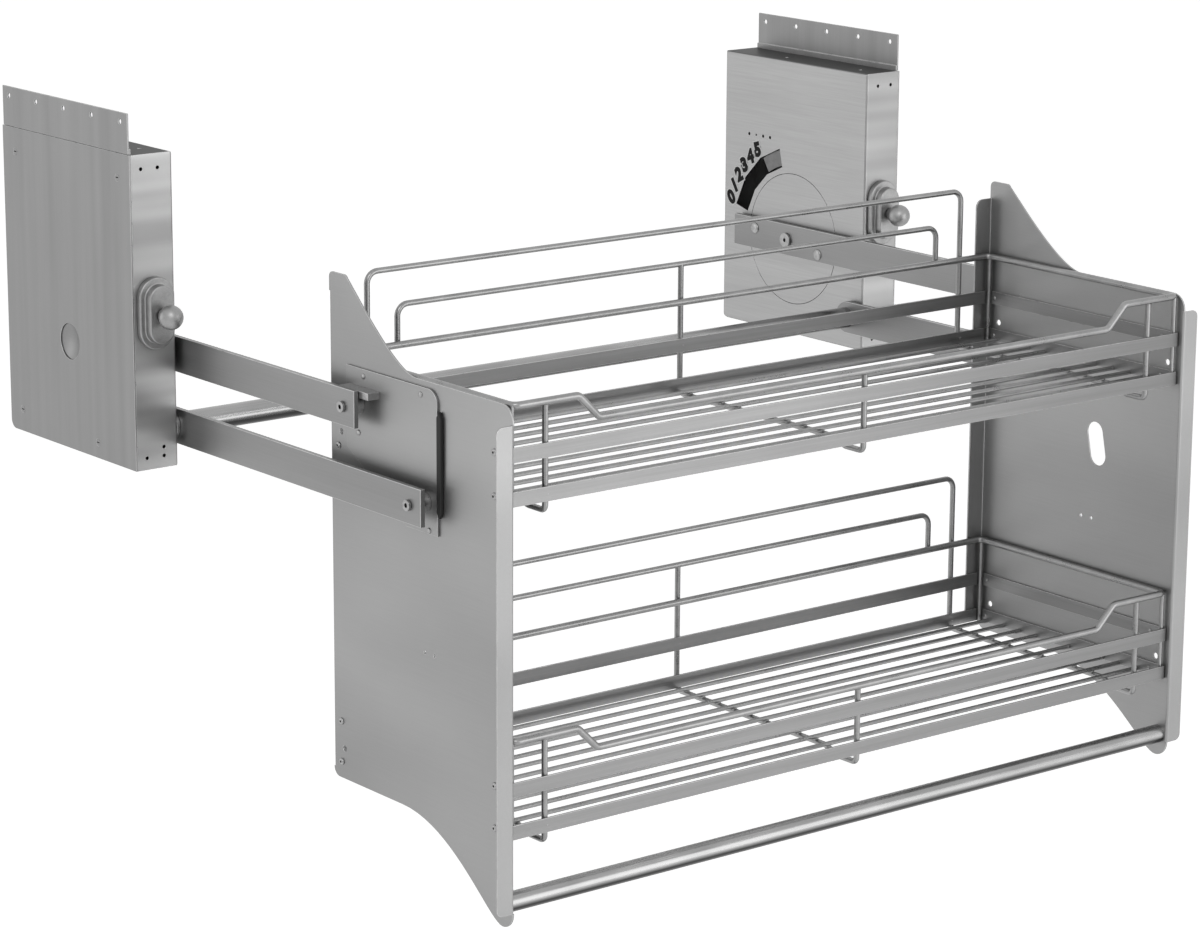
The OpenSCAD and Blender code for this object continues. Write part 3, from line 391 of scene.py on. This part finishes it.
# %% Hand a piece over to its body and hide the solids that it stands for; its slot is not used
def hand_over(piece, body, slot, *stands_for):
    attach(piece, body)
    if stands_for:
        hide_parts(*stands_for)
    print(f"{piece.name}: {len(piece.data.polygons)} faces, rides {body}")


# %% [markdown]
# ## Rounded edges on sheet and bar
#
# No pressed or sawn edge is perfectly sharp. Every plate, arm and bracket has a radius of a few
# tenths of a millimetre, which catches the light as a thin line. A Bevel modifier on a merged
# copy of the solid does that: the copy's triangles are joined first, so that only real edges are
# rounded, and a Weighted Normal modifier keeps the flat faces flat. A bevel can overshoot where a
# fold is tighter than the bevel is wide, so each point is held inside the solid's own box. The
# widths are those of deburred sheet, sawn bar and, on the escutcheons, a cast plate.

# %% Round the sharp edges of a copy of a solid
merge_within, flat_within, sharp_from = 2e-6, math.radians(0.6), math.radians(38)


def rounded(node, width_mm, finish=None, edge=edge_polish_and_painted_highlight, segments=2):
    mesh = frame["nodes"][node].data.copy()
    if "custom_normal" in mesh.attributes:
        mesh.attributes.remove(mesh.attributes["custom_normal"])
    work = bmesh.new()
    work.from_mesh(mesh)
    bmesh.ops.remove_doubles(work, verts=work.verts, dist=merge_within)
    bmesh.ops.dissolve_limit(work, angle_limit=flat_within, verts=work.verts, edges=work.edges)
    for face in work.faces:
        face.smooth = True
    work.to_mesh(mesh)
    work.free()
    mesh.materials.clear()
    mesh.materials.append(finish or finish_of[node])
    mesh.materials.append(edge or finish or finish_of[node])
    copy = placed(node, mesh)
    bevel = copy.modifiers.new("deburred_edge", "BEVEL")
    bevel.width = width_mm / 1000
    bevel.segments = segments
    bevel.limit_method = "ANGLE"
    bevel.angle_limit = sharp_from
    bevel.use_clamp_overlap = bevel.loop_slide = False
    bevel.material = 1
    copy.modifiers.new("flat_faces_stay_flat", "WEIGHTED_NORMAL").weight = 100
    low, high = ([pick(vert.co[i] for vert in mesh.vertices) for i in range(3)]
                 for pick in (min, max))
    piece = baked(copy, f"{node}_rounded")
    for vert in piece.data.vertices:
        vert.co = [min(max(vert.co[i], low[i]), high[i]) for i in range(3)]
    hand_over(piece, body_of[node], slot_of[node], node)


# %% Round the plates, arms, casings and brackets
for side in ("left", "right"):
    rounded(f"{side}_upper_arm", 0.5)
    rounded(f"{side}_lower_arm", 0.5)
    rounded(f"{side}_side_plate", 0.3)
    rounded(f"{side}_pivot_bracket", 0.35)
    rounded(f"{side}_casing_shell", 0.25)
    rounded(f"{side}_casing_back", 0.25)
    rounded(f"{side}_mounting_flange", 0.3)
    rounded(f"{side}_hub", 0.2)
    rounded(f"{side}_escutcheon", 1.1, knob_nickel, None, 3)
    rounded(f"{side}_lower_pin", 0.4, zinc)
for node in ("pivot_posts", "pivot_bolts", "hub_bolts", "handle_bolts"):
    rounded(node, 0.35, zinc, None)
rounded("buffer_strips", 0.8, rubber, None)
rounded("stop_tabs", 0.5, zinc)

# %% [markdown]
# ## The bent wires
#
# Each basket is bent from a few long wires. One closed ring runs right round the rim and dips
# in front. One wire starts at a front upright, turns back below the band in a small foot,
# rises to carry the floor, turns up into the tall hoop and comes down again on the other side.
# A lower hoop and a middle wire finish the back. Cylinders with balls at the corners would look
# like pipework, so every wire is a true path with a bend at each corner, and Geometry Nodes
# sweep a round section along it. In the solids the runners are level: the feet are trim.

# %% The sizes that the looks share with the solids, in millimetres
both_sides = (("left", -1), ("right", 1))
shelf_y, shelf_z, back_plane_y = -447.7, -294.5, -200.7
plate_in_x, plate_out_x, bracket_x, arm_in_x = 366.3, 367.8, 369.8, 382.0
band_in_x, ring_x, hoop_x, inner_x = 364.3, 362.0, 330.0, 300.0
front_y = shelf_y + 4.7
ring_front_y, ring_back_y = front_y + 2.25, back_plane_y - 3.05
front_wire_y, back_wire_y = front_y + 4.2, back_plane_y + 2.3
floor_drop, ring_rise, dip, dip_x, dip_run = 4.3, 77.9, 19.6, 299.0, 20.0
high_band, low_band, band_h, band_t, band_bend = 39.2, 4.2, 12.0, 2.0, 2.6
hoop_rise, inner_rise = 140.9, 110.4
foot_drop, foot_y, runner_y = 5.5, front_wire_y + 22, front_wire_y + 40
floors = {"upper": shelf_z + 345.1, "lower": shelf_z + 75.1}
print("Heights of the basket floors in mm:", {tier: round(z, 1) for tier, z in floors.items()})

# %% Walk along corner points and turn each corner into an arc
def bent_path(corners, radii, closed=False, steps=7):
    points = [Vector(corner) for corner in corners]
    path = []
    for i, point in enumerate(points):
        if not closed and i in (0, len(points) - 1):
            path.append(point)
            continue
        before = (points[i - 1] - point).normalized()
        after = (points[(i + 1) % len(points)] - point).normalized()
        half = before.angle(after) / 2
        reach = radii[i] / math.tan(half)
        centre = point + (before + after).normalized() * (radii[i] / math.sin(half))
        start, stop = point + before * reach - centre, point + after * reach - centre
        turn = start.angle(stop)
        for k in range(steps + 1):
            share = k / steps
            spoke = start * math.sin((1 - share) * turn) + stop * math.sin(share * turn)
            path.append(centre + spoke / math.sin(turn))
    return path


# %% Make a chain of edges from one or more paths, in metres
def chain(name, paths, closed=False):
    verts, edges = [], []
    for path in paths:
        first = len(verts)
        verts += [point / 1000 for point in path]
        edges += [(first + i, first + i + 1) for i in range(len(path) - 1)]
        if closed:
            edges.append((len(verts) - 1, first))
    mesh = bpy.data.meshes.new(name)
    mesh.from_pydata(verts, edges, [])
    return mesh


# %% [markdown]
# ## A Geometry Nodes tree with named sizes
#
# The trees below are built in the script. Each one states its sizes as named inputs, so the
# same tree makes a 6 mm ring and a 4 mm floor wire. A modifier's inputs are set through the
# socket's identifier, before Blender first looks at the object. Each tree ends by realizing
# its instances and setting the finish, because an exported model holds only plain meshes.

# %% Start a tree with its named inputs
def new_tree(name, **inputs):
    tree = bpy.data.node_groups.new(name, "GeometryNodeTree")
    tree.is_modifier = True
    tree.interface.new_socket("Geometry", in_out="INPUT", socket_type="NodeSocketGeometry")
    for label, kind in inputs.items():
        tree.interface.new_socket(label.replace("_", " "), in_out="INPUT",
                                  socket_type="NodeSocket" + kind)
    tree.interface.new_socket("Geometry", in_out="OUTPUT", socket_type="NodeSocketGeometry")
    return tree, tree.nodes.new("NodeGroupInput").outputs


# %% End a tree: real geometry, smooth, in its finish
def end_tree(tree, shape, finish):
    real = add(tree, "GeometryNodeRealizeInstances", {"Geometry": shape}).outputs["Geometry"]
    smooth = add(tree, "GeometryNodeSetShadeSmooth", {"Geometry": real}).outputs["Geometry"]
    painted = add(tree, "GeometryNodeSetMaterial", {"Geometry": smooth, "Material": finish})
    add(tree, "NodeGroupOutput", {"Geometry": painted.outputs["Geometry"]})


# %% Run a tree on a mesh and bake what comes out
def grown(name, tree, mesh, **values):
    source = placed(name, mesh)
    modifier = source.modifiers.new(tree.name, "NODES")
    modifier.node_group = tree
    for item in tree.interface.items_tree:
        key = item.name.replace(" ", "_")
        if item.item_type == "SOCKET" and item.in_out == "INPUT" and key in values:
            modifier[item.identifier] = values[key]
    return baked(source, name)


# %% The tree that sweeps a wire along its path
sweep, given = new_tree("swept_wire", Wire_Radius="Float", Sides="Int", Finish="Material")
line = add(sweep, "GeometryNodeMeshToCurve", {"Mesh": given["Geometry"]}).outputs["Curve"]
section = add(sweep, "GeometryNodeCurvePrimitiveCircle",
              {"Resolution": given["Sides"], "Radius": given["Wire Radius"]}).outputs["Curve"]
wire = add(sweep, "GeometryNodeCurveToMesh",
           {"Curve": line, "Profile Curve": section, "Fill Caps": True}).outputs["Mesh"]
end_tree(sweep, wire, given["Finish"])


# %% The corners of a runner, from its front upright down to the foot and back under the floor
def runner(x, top, under):
    foot = under - foot_drop
    return [(x, front_wire_y, top), (x, front_wire_y, foot), (x, foot_y, foot),
            (x, runner_y, under), (x, back_wire_y, under)]


# %% Bend the four kinds of wire of each basket
ring_wire_r, runner_wire_r, thin_wire_r = 0.003, 0.0025, 0.002
ring_bends, runner_bends, hoop_bends = [6, 7, 7, 7, 7, 6, 6, 6], [0, 4.5, 12, 12, 7], [10, 10]
below_rim, short_end, flat_x = 1, 3, dip_x - dip_run
for tier, floor in floors.items():
    rim, low_rim, under = floor + ring_rise, floor + ring_rise - dip, floor - floor_drop
    tall_z, short_z = floor + hoop_rise, floor + inner_rise
    ring = bent_path([(-ring_x, ring_front_y, rim), (-dip_x, ring_front_y, rim),
                      (-flat_x, ring_front_y, low_rim), (flat_x, ring_front_y, low_rim),
                      (dip_x, ring_front_y, rim), (ring_x, ring_front_y, rim),
                      (ring_x, ring_back_y, rim), (-ring_x, ring_back_y, rim)],
                     ring_bends, closed=True)
    hand_over(grown(f"{tier}_basket_rim_ring", sweep, chain("ring", [ring], closed=True),
                    Wire_Radius=ring_wire_r, Sides=20, Finish=wire_nickel),
              "shelf", "wire_steel", f"{tier}_basket_sides")
    tall = bent_path(runner(-hoop_x, rim - below_rim, under)
                     + [(-hoop_x, back_wire_y, tall_z), (hoop_x, back_wire_y, tall_z)]
                     + runner(hoop_x, rim - below_rim, under)[::-1],
                     runner_bends + hoop_bends + runner_bends[::-1])
    ends = [(x, back_wire_y, rim - short_end) for x in (-inner_x, inner_x)]
    short = bent_path([ends[0], (-inner_x, back_wire_y, short_z), (inner_x, back_wire_y, short_z),
                       ends[1]], [0] + hoop_bends + [0])
    middle = bent_path(runner(0, low_rim - below_rim, under) + [(0, back_wire_y, short_z)],
                       runner_bends + [0])
    hand_over(grown(f"{tier}_basket_hoop_wires", sweep, chain("hoops", [tall, short, middle]),
                    Wire_Radius=runner_wire_r, Sides=16, Finish=wire_nickel),
              "shelf", "wire_steel", f"{tier}_basket_back")

# %% [markdown]
# ## The floor wires
#
# Eleven straight wires lie side by side across the runners and make the floor of a basket.
# They repeat at an even pitch, so one wire is instanced on a row of points. The number of
# wires, the pitch and the length are inputs of the tree.

# %% The tree that lays wires side by side
lay, given = new_tree("laid_wires", Wires="Int", First="Vector", Pitch="Vector",
                      Half_Length="Float", Wire_Radius="Float", Finish="Material")
row = add(lay, "GeometryNodeMeshLine", {"Count": given["Wires"], "Start Location": given["First"],
                                        "Offset": given["Pitch"]}).outputs["Mesh"]
left_x = add(lay, "ShaderNodeMath", {0: given["Half Length"], 1: -1.0},
             operation="MULTIPLY").outputs["Value"]
left_end = add(lay, "ShaderNodeCombineXYZ", {"X": left_x}).outputs["Vector"]
right_end = add(lay, "ShaderNodeCombineXYZ", {"X": given["Half Length"]}).outputs["Vector"]
straight = add(lay, "GeometryNodeCurvePrimitiveLine",
               {"Start": left_end, "End": right_end}).outputs["Curve"]
section = add(lay, "GeometryNodeCurvePrimitiveCircle",
              {"Resolution": 14, "Radius": given["Wire Radius"]}).outputs["Curve"]
one_wire = add(lay, "GeometryNodeCurveToMesh",
               {"Curve": straight, "Profile Curve": section, "Fill Caps": True}).outputs["Mesh"]
wires = add(lay, "GeometryNodeInstanceOnPoints",
            {"Points": row, "Instance": one_wire}).outputs["Instances"]
end_tree(lay, wires, given["Finish"])

# %% Lay both floors
wire_count, border = 11, 13
first_y, last_y = front_y + border, back_plane_y - border
pitch = (last_y - first_y) / (wire_count - 1)
for tier, floor in floors.items():
    hand_over(grown(f"{tier}_basket_floor_wires", lay, bpy.data.meshes.new("row"), Wires=wire_count,
                    First=(0.0, first_y / 1000, floor / 1000), Pitch=(0.0, pitch / 1000, 0.0),
                    Half_Length=band_in_x / 1000, Wire_Radius=thin_wire_r, Finish=wire_nickel),
              "shelf", "wire_steel", f"{tier}_basket_floor")
print(f"The floor wires lie {pitch:.1f} mm apart")

# %% [markdown]
# ## The flat bands
#
# Two bands of flat strip, 12 by 2 mm, run round each basket, and the side plates are screwed to
# them. Each is bent from one length, so its corners are small radii rather than mitres. A
# rectangle with rounded corners is built as an inner and an outer wall, and a fine bevel breaks
# the long edges. Small rods stand in the corners between the bands and the rim.

# %% Join two rings of points with faces
def join_rings(work, ring, following):
    for k in range(len(ring)):
        ahead = (k + 1) % len(ring)
        work.faces.new((ring[k], ring[ahead], following[ahead], following[k]))


# %% Make a closed strip from its outer rectangle
def strip_loop(work, half_x, front, rear, low, high, thick, radius):
    corners = [(-half_x, front), (half_x, front), (half_x, rear), (-half_x, rear)]
    outer = bent_path([(x, y, 0) for x, y in corners], [radius] * 4, closed=True, steps=4)
    inset = [(-half_x + thick, front + thick), (half_x - thick, front + thick),
             (half_x - thick, rear - thick), (-half_x + thick, rear - thick)]
    inner = bent_path([(x, y, 0) for x, y in inset], [max(radius - thick, 0.3)] * 4,
                      closed=True, steps=4)
    rings = [[work.verts.new((p.x / 1000, p.y / 1000, z / 1000)) for p in path]
             for path, z in ((outer, low), (outer, high), (inner, high), (inner, low))]
    for ring, following in zip(rings, rings[1:] + rings[:1]):
        join_rings(work, ring, following)


# %% Bend the bands of each basket, round their edges and stand the corner rods
rod_x, rod_foot = 362.5, 1.8
rod_front_y, rod_back_y = front_y + band_t + 2.1, back_plane_y - band_t - 2.2
for tier, floor in floors.items():
    work = bmesh.new()
    for middle_z in (low_band, high_band):
        strip_loop(work, plate_in_x, front_y, back_plane_y, floor + middle_z - band_h / 2,
                   floor + middle_z + band_h / 2, band_t, band_bend)
    bmesh.ops.recalc_face_normals(work, faces=work.faces)
    for face in work.faces:
        face.smooth = True
    mesh = bpy.data.meshes.new("bands")
    work.to_mesh(mesh)
    work.free()
    mesh.materials.append(band_steel)
    mesh.materials.append(edge_polish_and_painted_highlight)
    strip = placed("bands", mesh)
    bevel = strip.modifiers.new("deburred_edge", "BEVEL")
    bevel.width, bevel.segments, bevel.harden_normals, bevel.material = 0.0003, 2, True, 1
    bevel.limit_method, bevel.angle_limit = "ANGLE", math.radians(50)
    hand_over(baked(strip, f"{tier}_basket_bands"), "shelf", "wire_steel", f"{tier}_basket_front")
    rods = [[Vector((x, y, floor - rod_foot)), Vector((x, y, floor + ring_rise))]
            for x in (-rod_x, rod_x) for y in (rod_front_y, rod_back_y)]
    hand_over(grown(f"{tier}_basket_corner_rods", sweep, chain("rods", rods),
                    Wire_Radius=thin_wire_r, Sides=14, Finish=wire_nickel), "shelf", "wire_steel")

# %% [markdown]
# ## Weld spots
#
# Wires and bands are joined by resistance welding, which squeezes a small bead of metal out at
# every crossing. The beads are what tells welded wire from threaded wire. They sit where two
# wires touch, so their places follow from the paths above, and each differs a little in size.
# The seed of that variation is fixed.

# %% The tree that puts a bead on every point
weld, given = new_tree("weld_beads", Bead_Radius="Float", Seed="Int", Finish="Material")
bead = add(weld, "GeometryNodeMeshIcoSphere",
           {"Radius": given["Bead Radius"], "Subdivisions": 3}).outputs["Mesh"]
size = add(weld, "FunctionNodeRandomValue", {2: 0.85, 3: 1.15, "Seed": given["Seed"]}).outputs[1]
beads = add(weld, "GeometryNodeInstanceOnPoints", {"Points": given["Geometry"], "Instance": bead,
                                                   "Scale": size}).outputs["Instances"]
end_tree(weld, beads, given["Finish"])


# %% Find every crossing, with its bead set into the corner between the two wires
wires_over_feet, wall_weld_x = 2, band_in_x - 0.8
band_weld_y, rim_weld_y = front_y + band_t + 0.3, back_plane_y - 0.4
tip_weld_y, tip_weld_drop = front_wire_y - 1.2, 2.2


def crossings(floor):
    rim, low_rim = floor + ring_rise, floor + ring_rise - dip
    wire_ys = [first_y + i * pitch for i in range(wire_count)]
    runner_xs, band_zs = (-hoop_x, 0, hoop_x), (floor + low_band, floor + high_band)
    spots = [(x, y, floor - floor_drop / 2) for x in runner_xs for y in wire_ys[wires_over_feet:]]
    for x in runner_xs:
        front_rim = low_rim if x == 0 else rim
        spots += [(x, band_weld_y, z) for z in band_zs]
        spots += [(x, back_plane_y, z) for z in band_zs]
        spots += [(x, tip_weld_y, front_rim - tip_weld_drop), (x, rim_weld_y, rim)]
    spots += [(x, rim_weld_y, rim - below_rim) for x in (-inner_x, inner_x)]
    spots += [(x, y, floor) for x in (-wall_weld_x, wall_weld_x) for y in wire_ys]
    return [Vector(spot) for spot in spots]


# %% Weld every crossing
for tier, floor in floors.items():
    points = bpy.data.meshes.new("crossings")
    points.from_pydata([spot / 1000 for spot in crossings(floor)], [], [])
    hand_over(grown(f"{tier}_basket_weld_beads", weld, points, Bead_Radius=0.0021, Seed=7,
                    Finish=wire_nickel), "shelf", "wire_steel")

# %% [markdown]
# ## Screws and rivets
#
# The bands are held by button-head screws with a hex socket, and the brackets and hubs by
# domed rivets. A head is turned once as a lathe profile, from its rim up to its middle. Its
# socket is a ring of six flats. The heads are then set on points by Geometry Nodes, turned to
# face out of the plate, and each is spun by its own amount, because no two screws stop at the
# same angle.

# %% Turn a head, with its seat at the origin and its top along Z
def turned(name, profile, sides=36, socket=None):
    work = bmesh.new()
    rings = [(radius, height, False) for radius, height in profile]
    if socket:
        reach, deep = socket
        top, drill_tip = profile[-1][1], 0.3
        rings += [(reach, top, True), (reach, top - deep, True),
                  (reach * 0.15, top - deep - drill_tip, False)]
    made = []
    for radius, height, hexagon in rings:
        ring = []
        for k in range(sides):
            angle = math.tau * k / sides
            off_flat = (angle + math.pi / 6) % (math.pi / 3) - math.pi / 6
            out = radius / math.cos(off_flat) if hexagon else radius
            spot = (out * math.cos(angle) / 1000, out * math.sin(angle) / 1000, height / 1000)
            ring.append(work.verts.new(spot))
        made.append(ring)
    for ring, following in zip(made, made[1:]):
        join_rings(work, ring, following)
    work.faces.new(made[-1])
    work.faces.new(list(reversed(made[0])))
    bmesh.ops.recalc_face_normals(work, faces=work.faces)
    mesh = bpy.data.meshes.new(name)
    work.to_mesh(mesh)
    work.free()
    return mesh


# %% Turn a screw head, two rivet heads and a screw's end from radii and heights in millimetres
button_head = turned("button_head", [(2.9, 0), (3.0, 0.25), (2.85, 0.8), (2.4, 1.3),
                                     (1.9, 1.55), (1.25, 1.6)], socket=(0.95, 0.9))
small_rivet = turned("small_rivet", [(2.3, 0), (2.4, 0.2), (2.2, 0.55), (1.7, 0.82),
                                     (1.0, 0.96), (0.3, 1.0)])
hub_rivet = turned("hub_rivet", [(5.4, 0), (5.5, 0.3), (5.2, 0.9), (4.3, 1.4),
                                 (3.0, 1.68), (1.2, 1.8)])
screw_end = turned("screw_end", [(1.7, -0.4), (1.7, 0.2), (1.45, 0.55), (0.9, 0.75), (0.3, 0.8)],
                   sides=20)
print("A screw head has", len(button_head.polygons), "faces")

# %% The tree that sets a head on every point
fasten, given = new_tree("set_heads", Head="Object", Facing="Float", Seed="Int", Finish="Material")
head = add(fasten, "GeometryNodeObjectInfo", {"Object": given["Head"]}).outputs["Geometry"]
spot = add(fasten, "GeometryNodeInputPosition").outputs["Position"]
spot_x = add(fasten, "ShaderNodeSeparateXYZ", {"Vector": spot}).outputs["X"]
side = add(fasten, "ShaderNodeMath", {0: spot_x}, operation="SIGN").outputs["Value"]
outward = add(fasten, "ShaderNodeMath", {0: side, 1: given["Facing"]},
              operation="MULTIPLY").outputs["Value"]
axis = add(fasten, "ShaderNodeCombineXYZ", {"X": outward}).outputs["Vector"]
stand = add(fasten, "FunctionNodeAlignRotationToVector", {"Vector": axis},
            axis="Z").outputs["Rotation"]
heads = add(fasten, "GeometryNodeInstanceOnPoints",
            {"Points": given["Geometry"], "Instance": head, "Rotation": stand}).outputs["Instances"]
turn = add(fasten, "FunctionNodeRandomValue",
           {2: 0.0, 3: math.tau, "Seed": given["Seed"]}).outputs[1]
spin = add(fasten, "ShaderNodeCombineXYZ", {"Z": turn}).outputs["Vector"]
spun = add(fasten, "GeometryNodeRotateInstances",
           {"Instances": heads, "Rotation": spin}).outputs["Instances"]
end_tree(fasten, spun, given["Finish"])


# %% Set heads of one kind on both sides, then put the pattern away
def set_heads(name, pattern, spots, facing, seed, body, *stands_for):
    model = placed(pattern.name, pattern)
    points = bpy.data.meshes.new(name)
    points.from_pydata([Vector(spot) / 1000 for spot in spots], [], [])
    piece = grown(name, fasten, points, Head=model, Facing=facing, Seed=seed, Finish=zinc)
    bpy.data.objects.remove(model, do_unlink=True)
    hand_over(piece, body, "fastener_steel", *stands_for)


# %% Fasten the bands, the brackets and the hubs
hub_y, hub_z, outwards, inwards = 105, 95.5, 1.0, -1.0
screw_ys = (23.7, 236.7)
bracket_rivet_places = ((118.7, 413), (197.7, 413.5), (108, 304.5), (205, 366))
hub_rivet_places = ((48, 5), (-47, -8))
fixings = [(x, shelf_y + y, floor + z) for floor in floors.values()
           for x in (-plate_out_x, plate_out_x) for y in screw_ys for z in (low_band, high_band)]
set_heads("basket_screw_heads", button_head, fixings, outwards, 3, "shelf", "basket_screws")
tips = [(math.copysign(band_in_x, x), y, z) for x, y, z in fixings]
set_heads("basket_screw_ends", screw_end, tips, inwards, 4, "shelf")
rivets = [(x, shelf_y + y, shelf_z + z) for x in (-bracket_x, bracket_x)
          for y, z in bracket_rivet_places]
set_heads("bracket_rivet_heads", small_rivet, rivets, outwards, 5, "shelf", "bracket_rivets")
for side, sign in both_sides:
    spots = [(sign * arm_in_x, hub_y + y, hub_z + z) for y, z in hub_rivet_places]
    set_heads(f"{side}_hub_rivet_heads", hub_rivet, spots, inwards, 6, f"{side}_arm_and_hub",
              f"{side}_hub_rivets")

# %% [markdown]
# ## The ball knobs
#
# A satin ball is screwed on the end of each lock plunger. It is turned on a lathe: a ball that
# runs into a short neck, with a thin groove between them and a small flat on its crown where
# the centre drill went in. The same lathe function makes it from one more profile.

# %% Turn the two knobs and point them out of the casings
ball_r, knob_x, knob_y, knob_z = 10.5, 0.411, -0.027, 0.1355
neck = [(4.2, -11.7), (5.8, -11.6), (6.0, -11.2), (6.0, -9.4)]
slopes = [math.radians(degrees) for degrees in range(-52, 84, 4)]
ball = [(ball_r * math.cos(slope), ball_r * math.sin(slope)) for slope in slopes]
for side, sign in both_sides:
    mesh = turned(f"{side}_ball", neck + ball, sides=64)
    seat = Matrix.Translation((sign * knob_x, knob_y, knob_z))
    mesh.transform(seat @ Matrix.Rotation(math.pi / 2, 4, "X"))
    for face in mesh.polygons:
        face.use_smooth = True
    mesh.materials.append(knob_nickel)
    node = f"{side}_lock_knob"
    hand_over(placed(f"{side}_ball_knob", mesh), body_of[node], slot_of[node], node)

# %% [markdown]
# ## Numbers beside the dial
#
# Along the curved window of each casing stand plain numbers from 0 to 5, which tell how hard
# the spring is set. They are printed in black with a pale keyline round each. Text objects give
# clean outlines: the same figure is set twice, once made fatter for the keyline, and both are
# turned to meshes that lie on the steel like a film of ink. They follow the arc of the window
# and lean with it.

# %% Print one ring of numbers on a casing
figure_count, first_angle, angle_step, lean_share = 6, 17, 7.8, 0.5
figure_size, figure_ring_r, ink_film, face_x = 0.0185, 0.0985, 0.00004, 0.390


def figures(sign, fatter, proud_mm, finish):
    loose = []
    for number in range(figure_count):
        angle = math.radians(first_angle + angle_step * number)
        text = bpy.data.curves.new("figure", "FONT")
        text.body, text.size = str(number), figure_size
        text.align_x, text.align_y = "CENTER", "CENTER"
        text.offset, text.extrude = fatter, ink_film
        text.resolution_u = 4
        lean = sign * (math.pi / 2 - angle) * lean_share
        shape = baked(placed("figure", text), "figure")
        x_axis, y_axis = Vector((0, -sign, 0)), Vector((0, 0, 1))
        turn = Matrix.Rotation(lean, 4, "Z")
        stand = Matrix((x_axis, y_axis, x_axis.cross(y_axis))).transposed().to_4x4()
        stand.translation = (sign * (face_x - proud_mm / 1000),
                             hub_y / 1000 + figure_ring_r * math.cos(angle),
                             hub_z / 1000 + figure_ring_r * math.sin(angle))
        shape.data.transform(stand @ turn)
        loose.append(shape)
    work = bmesh.new()
    for shape in loose:
        work.from_mesh(shape.data)
        bpy.data.objects.remove(shape, do_unlink=True)
    mesh = bpy.data.meshes.new("figures")
    work.to_mesh(mesh)
    work.free()
    mesh.materials.clear()
    mesh.materials.append(finish)
    return mesh


# %% Print the keylines, and the black figures over them
inks = (("keyline", 0.0026, 0.05, pale_ink), ("figures", 0.0013, 0.14, black_ink))
for side, sign in both_sides:
    for ink, fatter, proud_mm, finish in inks:
        printed = placed(f"{side}_dial_{ink}", figures(sign, fatter, proud_mm, finish))
        hand_over(printed, "casings", "casing_steel")

# %% [markdown]
# ## The studio
#
# The lift hangs in a cabinet, well above the floor, so a pale floor lies 1.2 m below it and
# keeps its soft shadow. The background is white because the world is white to the camera and
# to reflections, not because more light is thrown on the steel. Diffuse light comes from the
# same world at a lower level and from three wide softboxes, so that a colour renders about as
# it is written.

# %% Tell the rays that show the studio from those that only light the steel
def seen_rays(tree):
    path = add(tree, "ShaderNodeLightPath").outputs
    seen = path["Is Camera Ray"]
    for kind in ("Is Glossy Ray", "Is Transmission Ray"):
        seen = add(tree, "ShaderNodeMath", {0: seen, 1: path[kind]},
                   operation="MAXIMUM").outputs["Value"]
    return seen


# %% A white world for the eye and for reflections, softer for diffuse light
world = bpy.data.worlds.new("white_studio")
bpy.context.scene.world = world
world.use_nodes = True
tree = world.node_tree
strength = swing(tree, seen_rays(tree), 0.55, 1.0, start=0.0, stop=1.0)
tree.nodes["Background"].inputs["Color"].default_value = (1, 1, 1, 1)
tree.links.new(strength, tree.nodes["Background"].inputs["Strength"])
bpy.context.scene.view_settings.view_transform = "Standard"
print("The world is white to the eye")

# %% The pale floor
floor_half, floor_z = 14, -1.2
floor_corners = [(x * floor_half, y * floor_half, floor_z)
                 for x, y in ((-1, -1), (1, -1), (1, 1), (-1, 1))]
floor_mesh = bpy.data.meshes.new("studio_floor")
floor_mesh.from_pydata(floor_corners, [], [(0, 1, 2, 3)])
studio_floor = placed("studio_floor", floor_mesh)
pale, tree, shader, place = new_finish("pale_studio_floor", Roughness=0.9)
mottle = grain(tree, place, (300, 300, 300))
tint(tree, shader, swing(tree, mottle, 0.0, 1.0), "#F4F4F4", "#F8F8F8")
glow = swing(tree, seen_rays(tree), 0.0, 0.5, start=0.0, stop=1.0)
lift = add(tree, "ShaderNodeEmission", {"Strength": glow})
both = add(tree, "ShaderNodeAddShader", {0: shader.outputs["BSDF"], 1: lift.outputs["Emission"]})
tree.links.new(both.outputs["Shader"], tree.nodes["Material Output"].inputs["Surface"])
floor_mesh.materials.append(pale)
print("The pale floor lies at", floor_z, "m")


# %% Hang three softboxes
def softbox(name, place, aim, size, watts):
    lamp = bpy.data.lights.new(name, "AREA")
    lamp.shape, lamp.energy = "RECTANGLE", watts
    lamp.size, lamp.size_y = size
    box = placed(name, lamp)
    box.location = place
    box.rotation_euler = (Vector(aim) - Vector(place)).to_track_quat("-Z", "Y").to_euler()


softbox("key_softbox", (-2.2, -2.8, 2.6), (0, -0.2, 0), (1.8, 1.8), 28)
softbox("front_softbox", (1.6, -3.8, 0.2), (0, -0.2, 0), (2.6, 2.6), 34)
softbox("rear_left_softbox", (-3.0, 2.4, 0.4), (0, 0, 0), (1.4, 2.0), 8)
print("Three softboxes hang")

# %% [markdown]
# ## Hand over
#
# The looks must not change the size of the model.

# %% Finish
import json
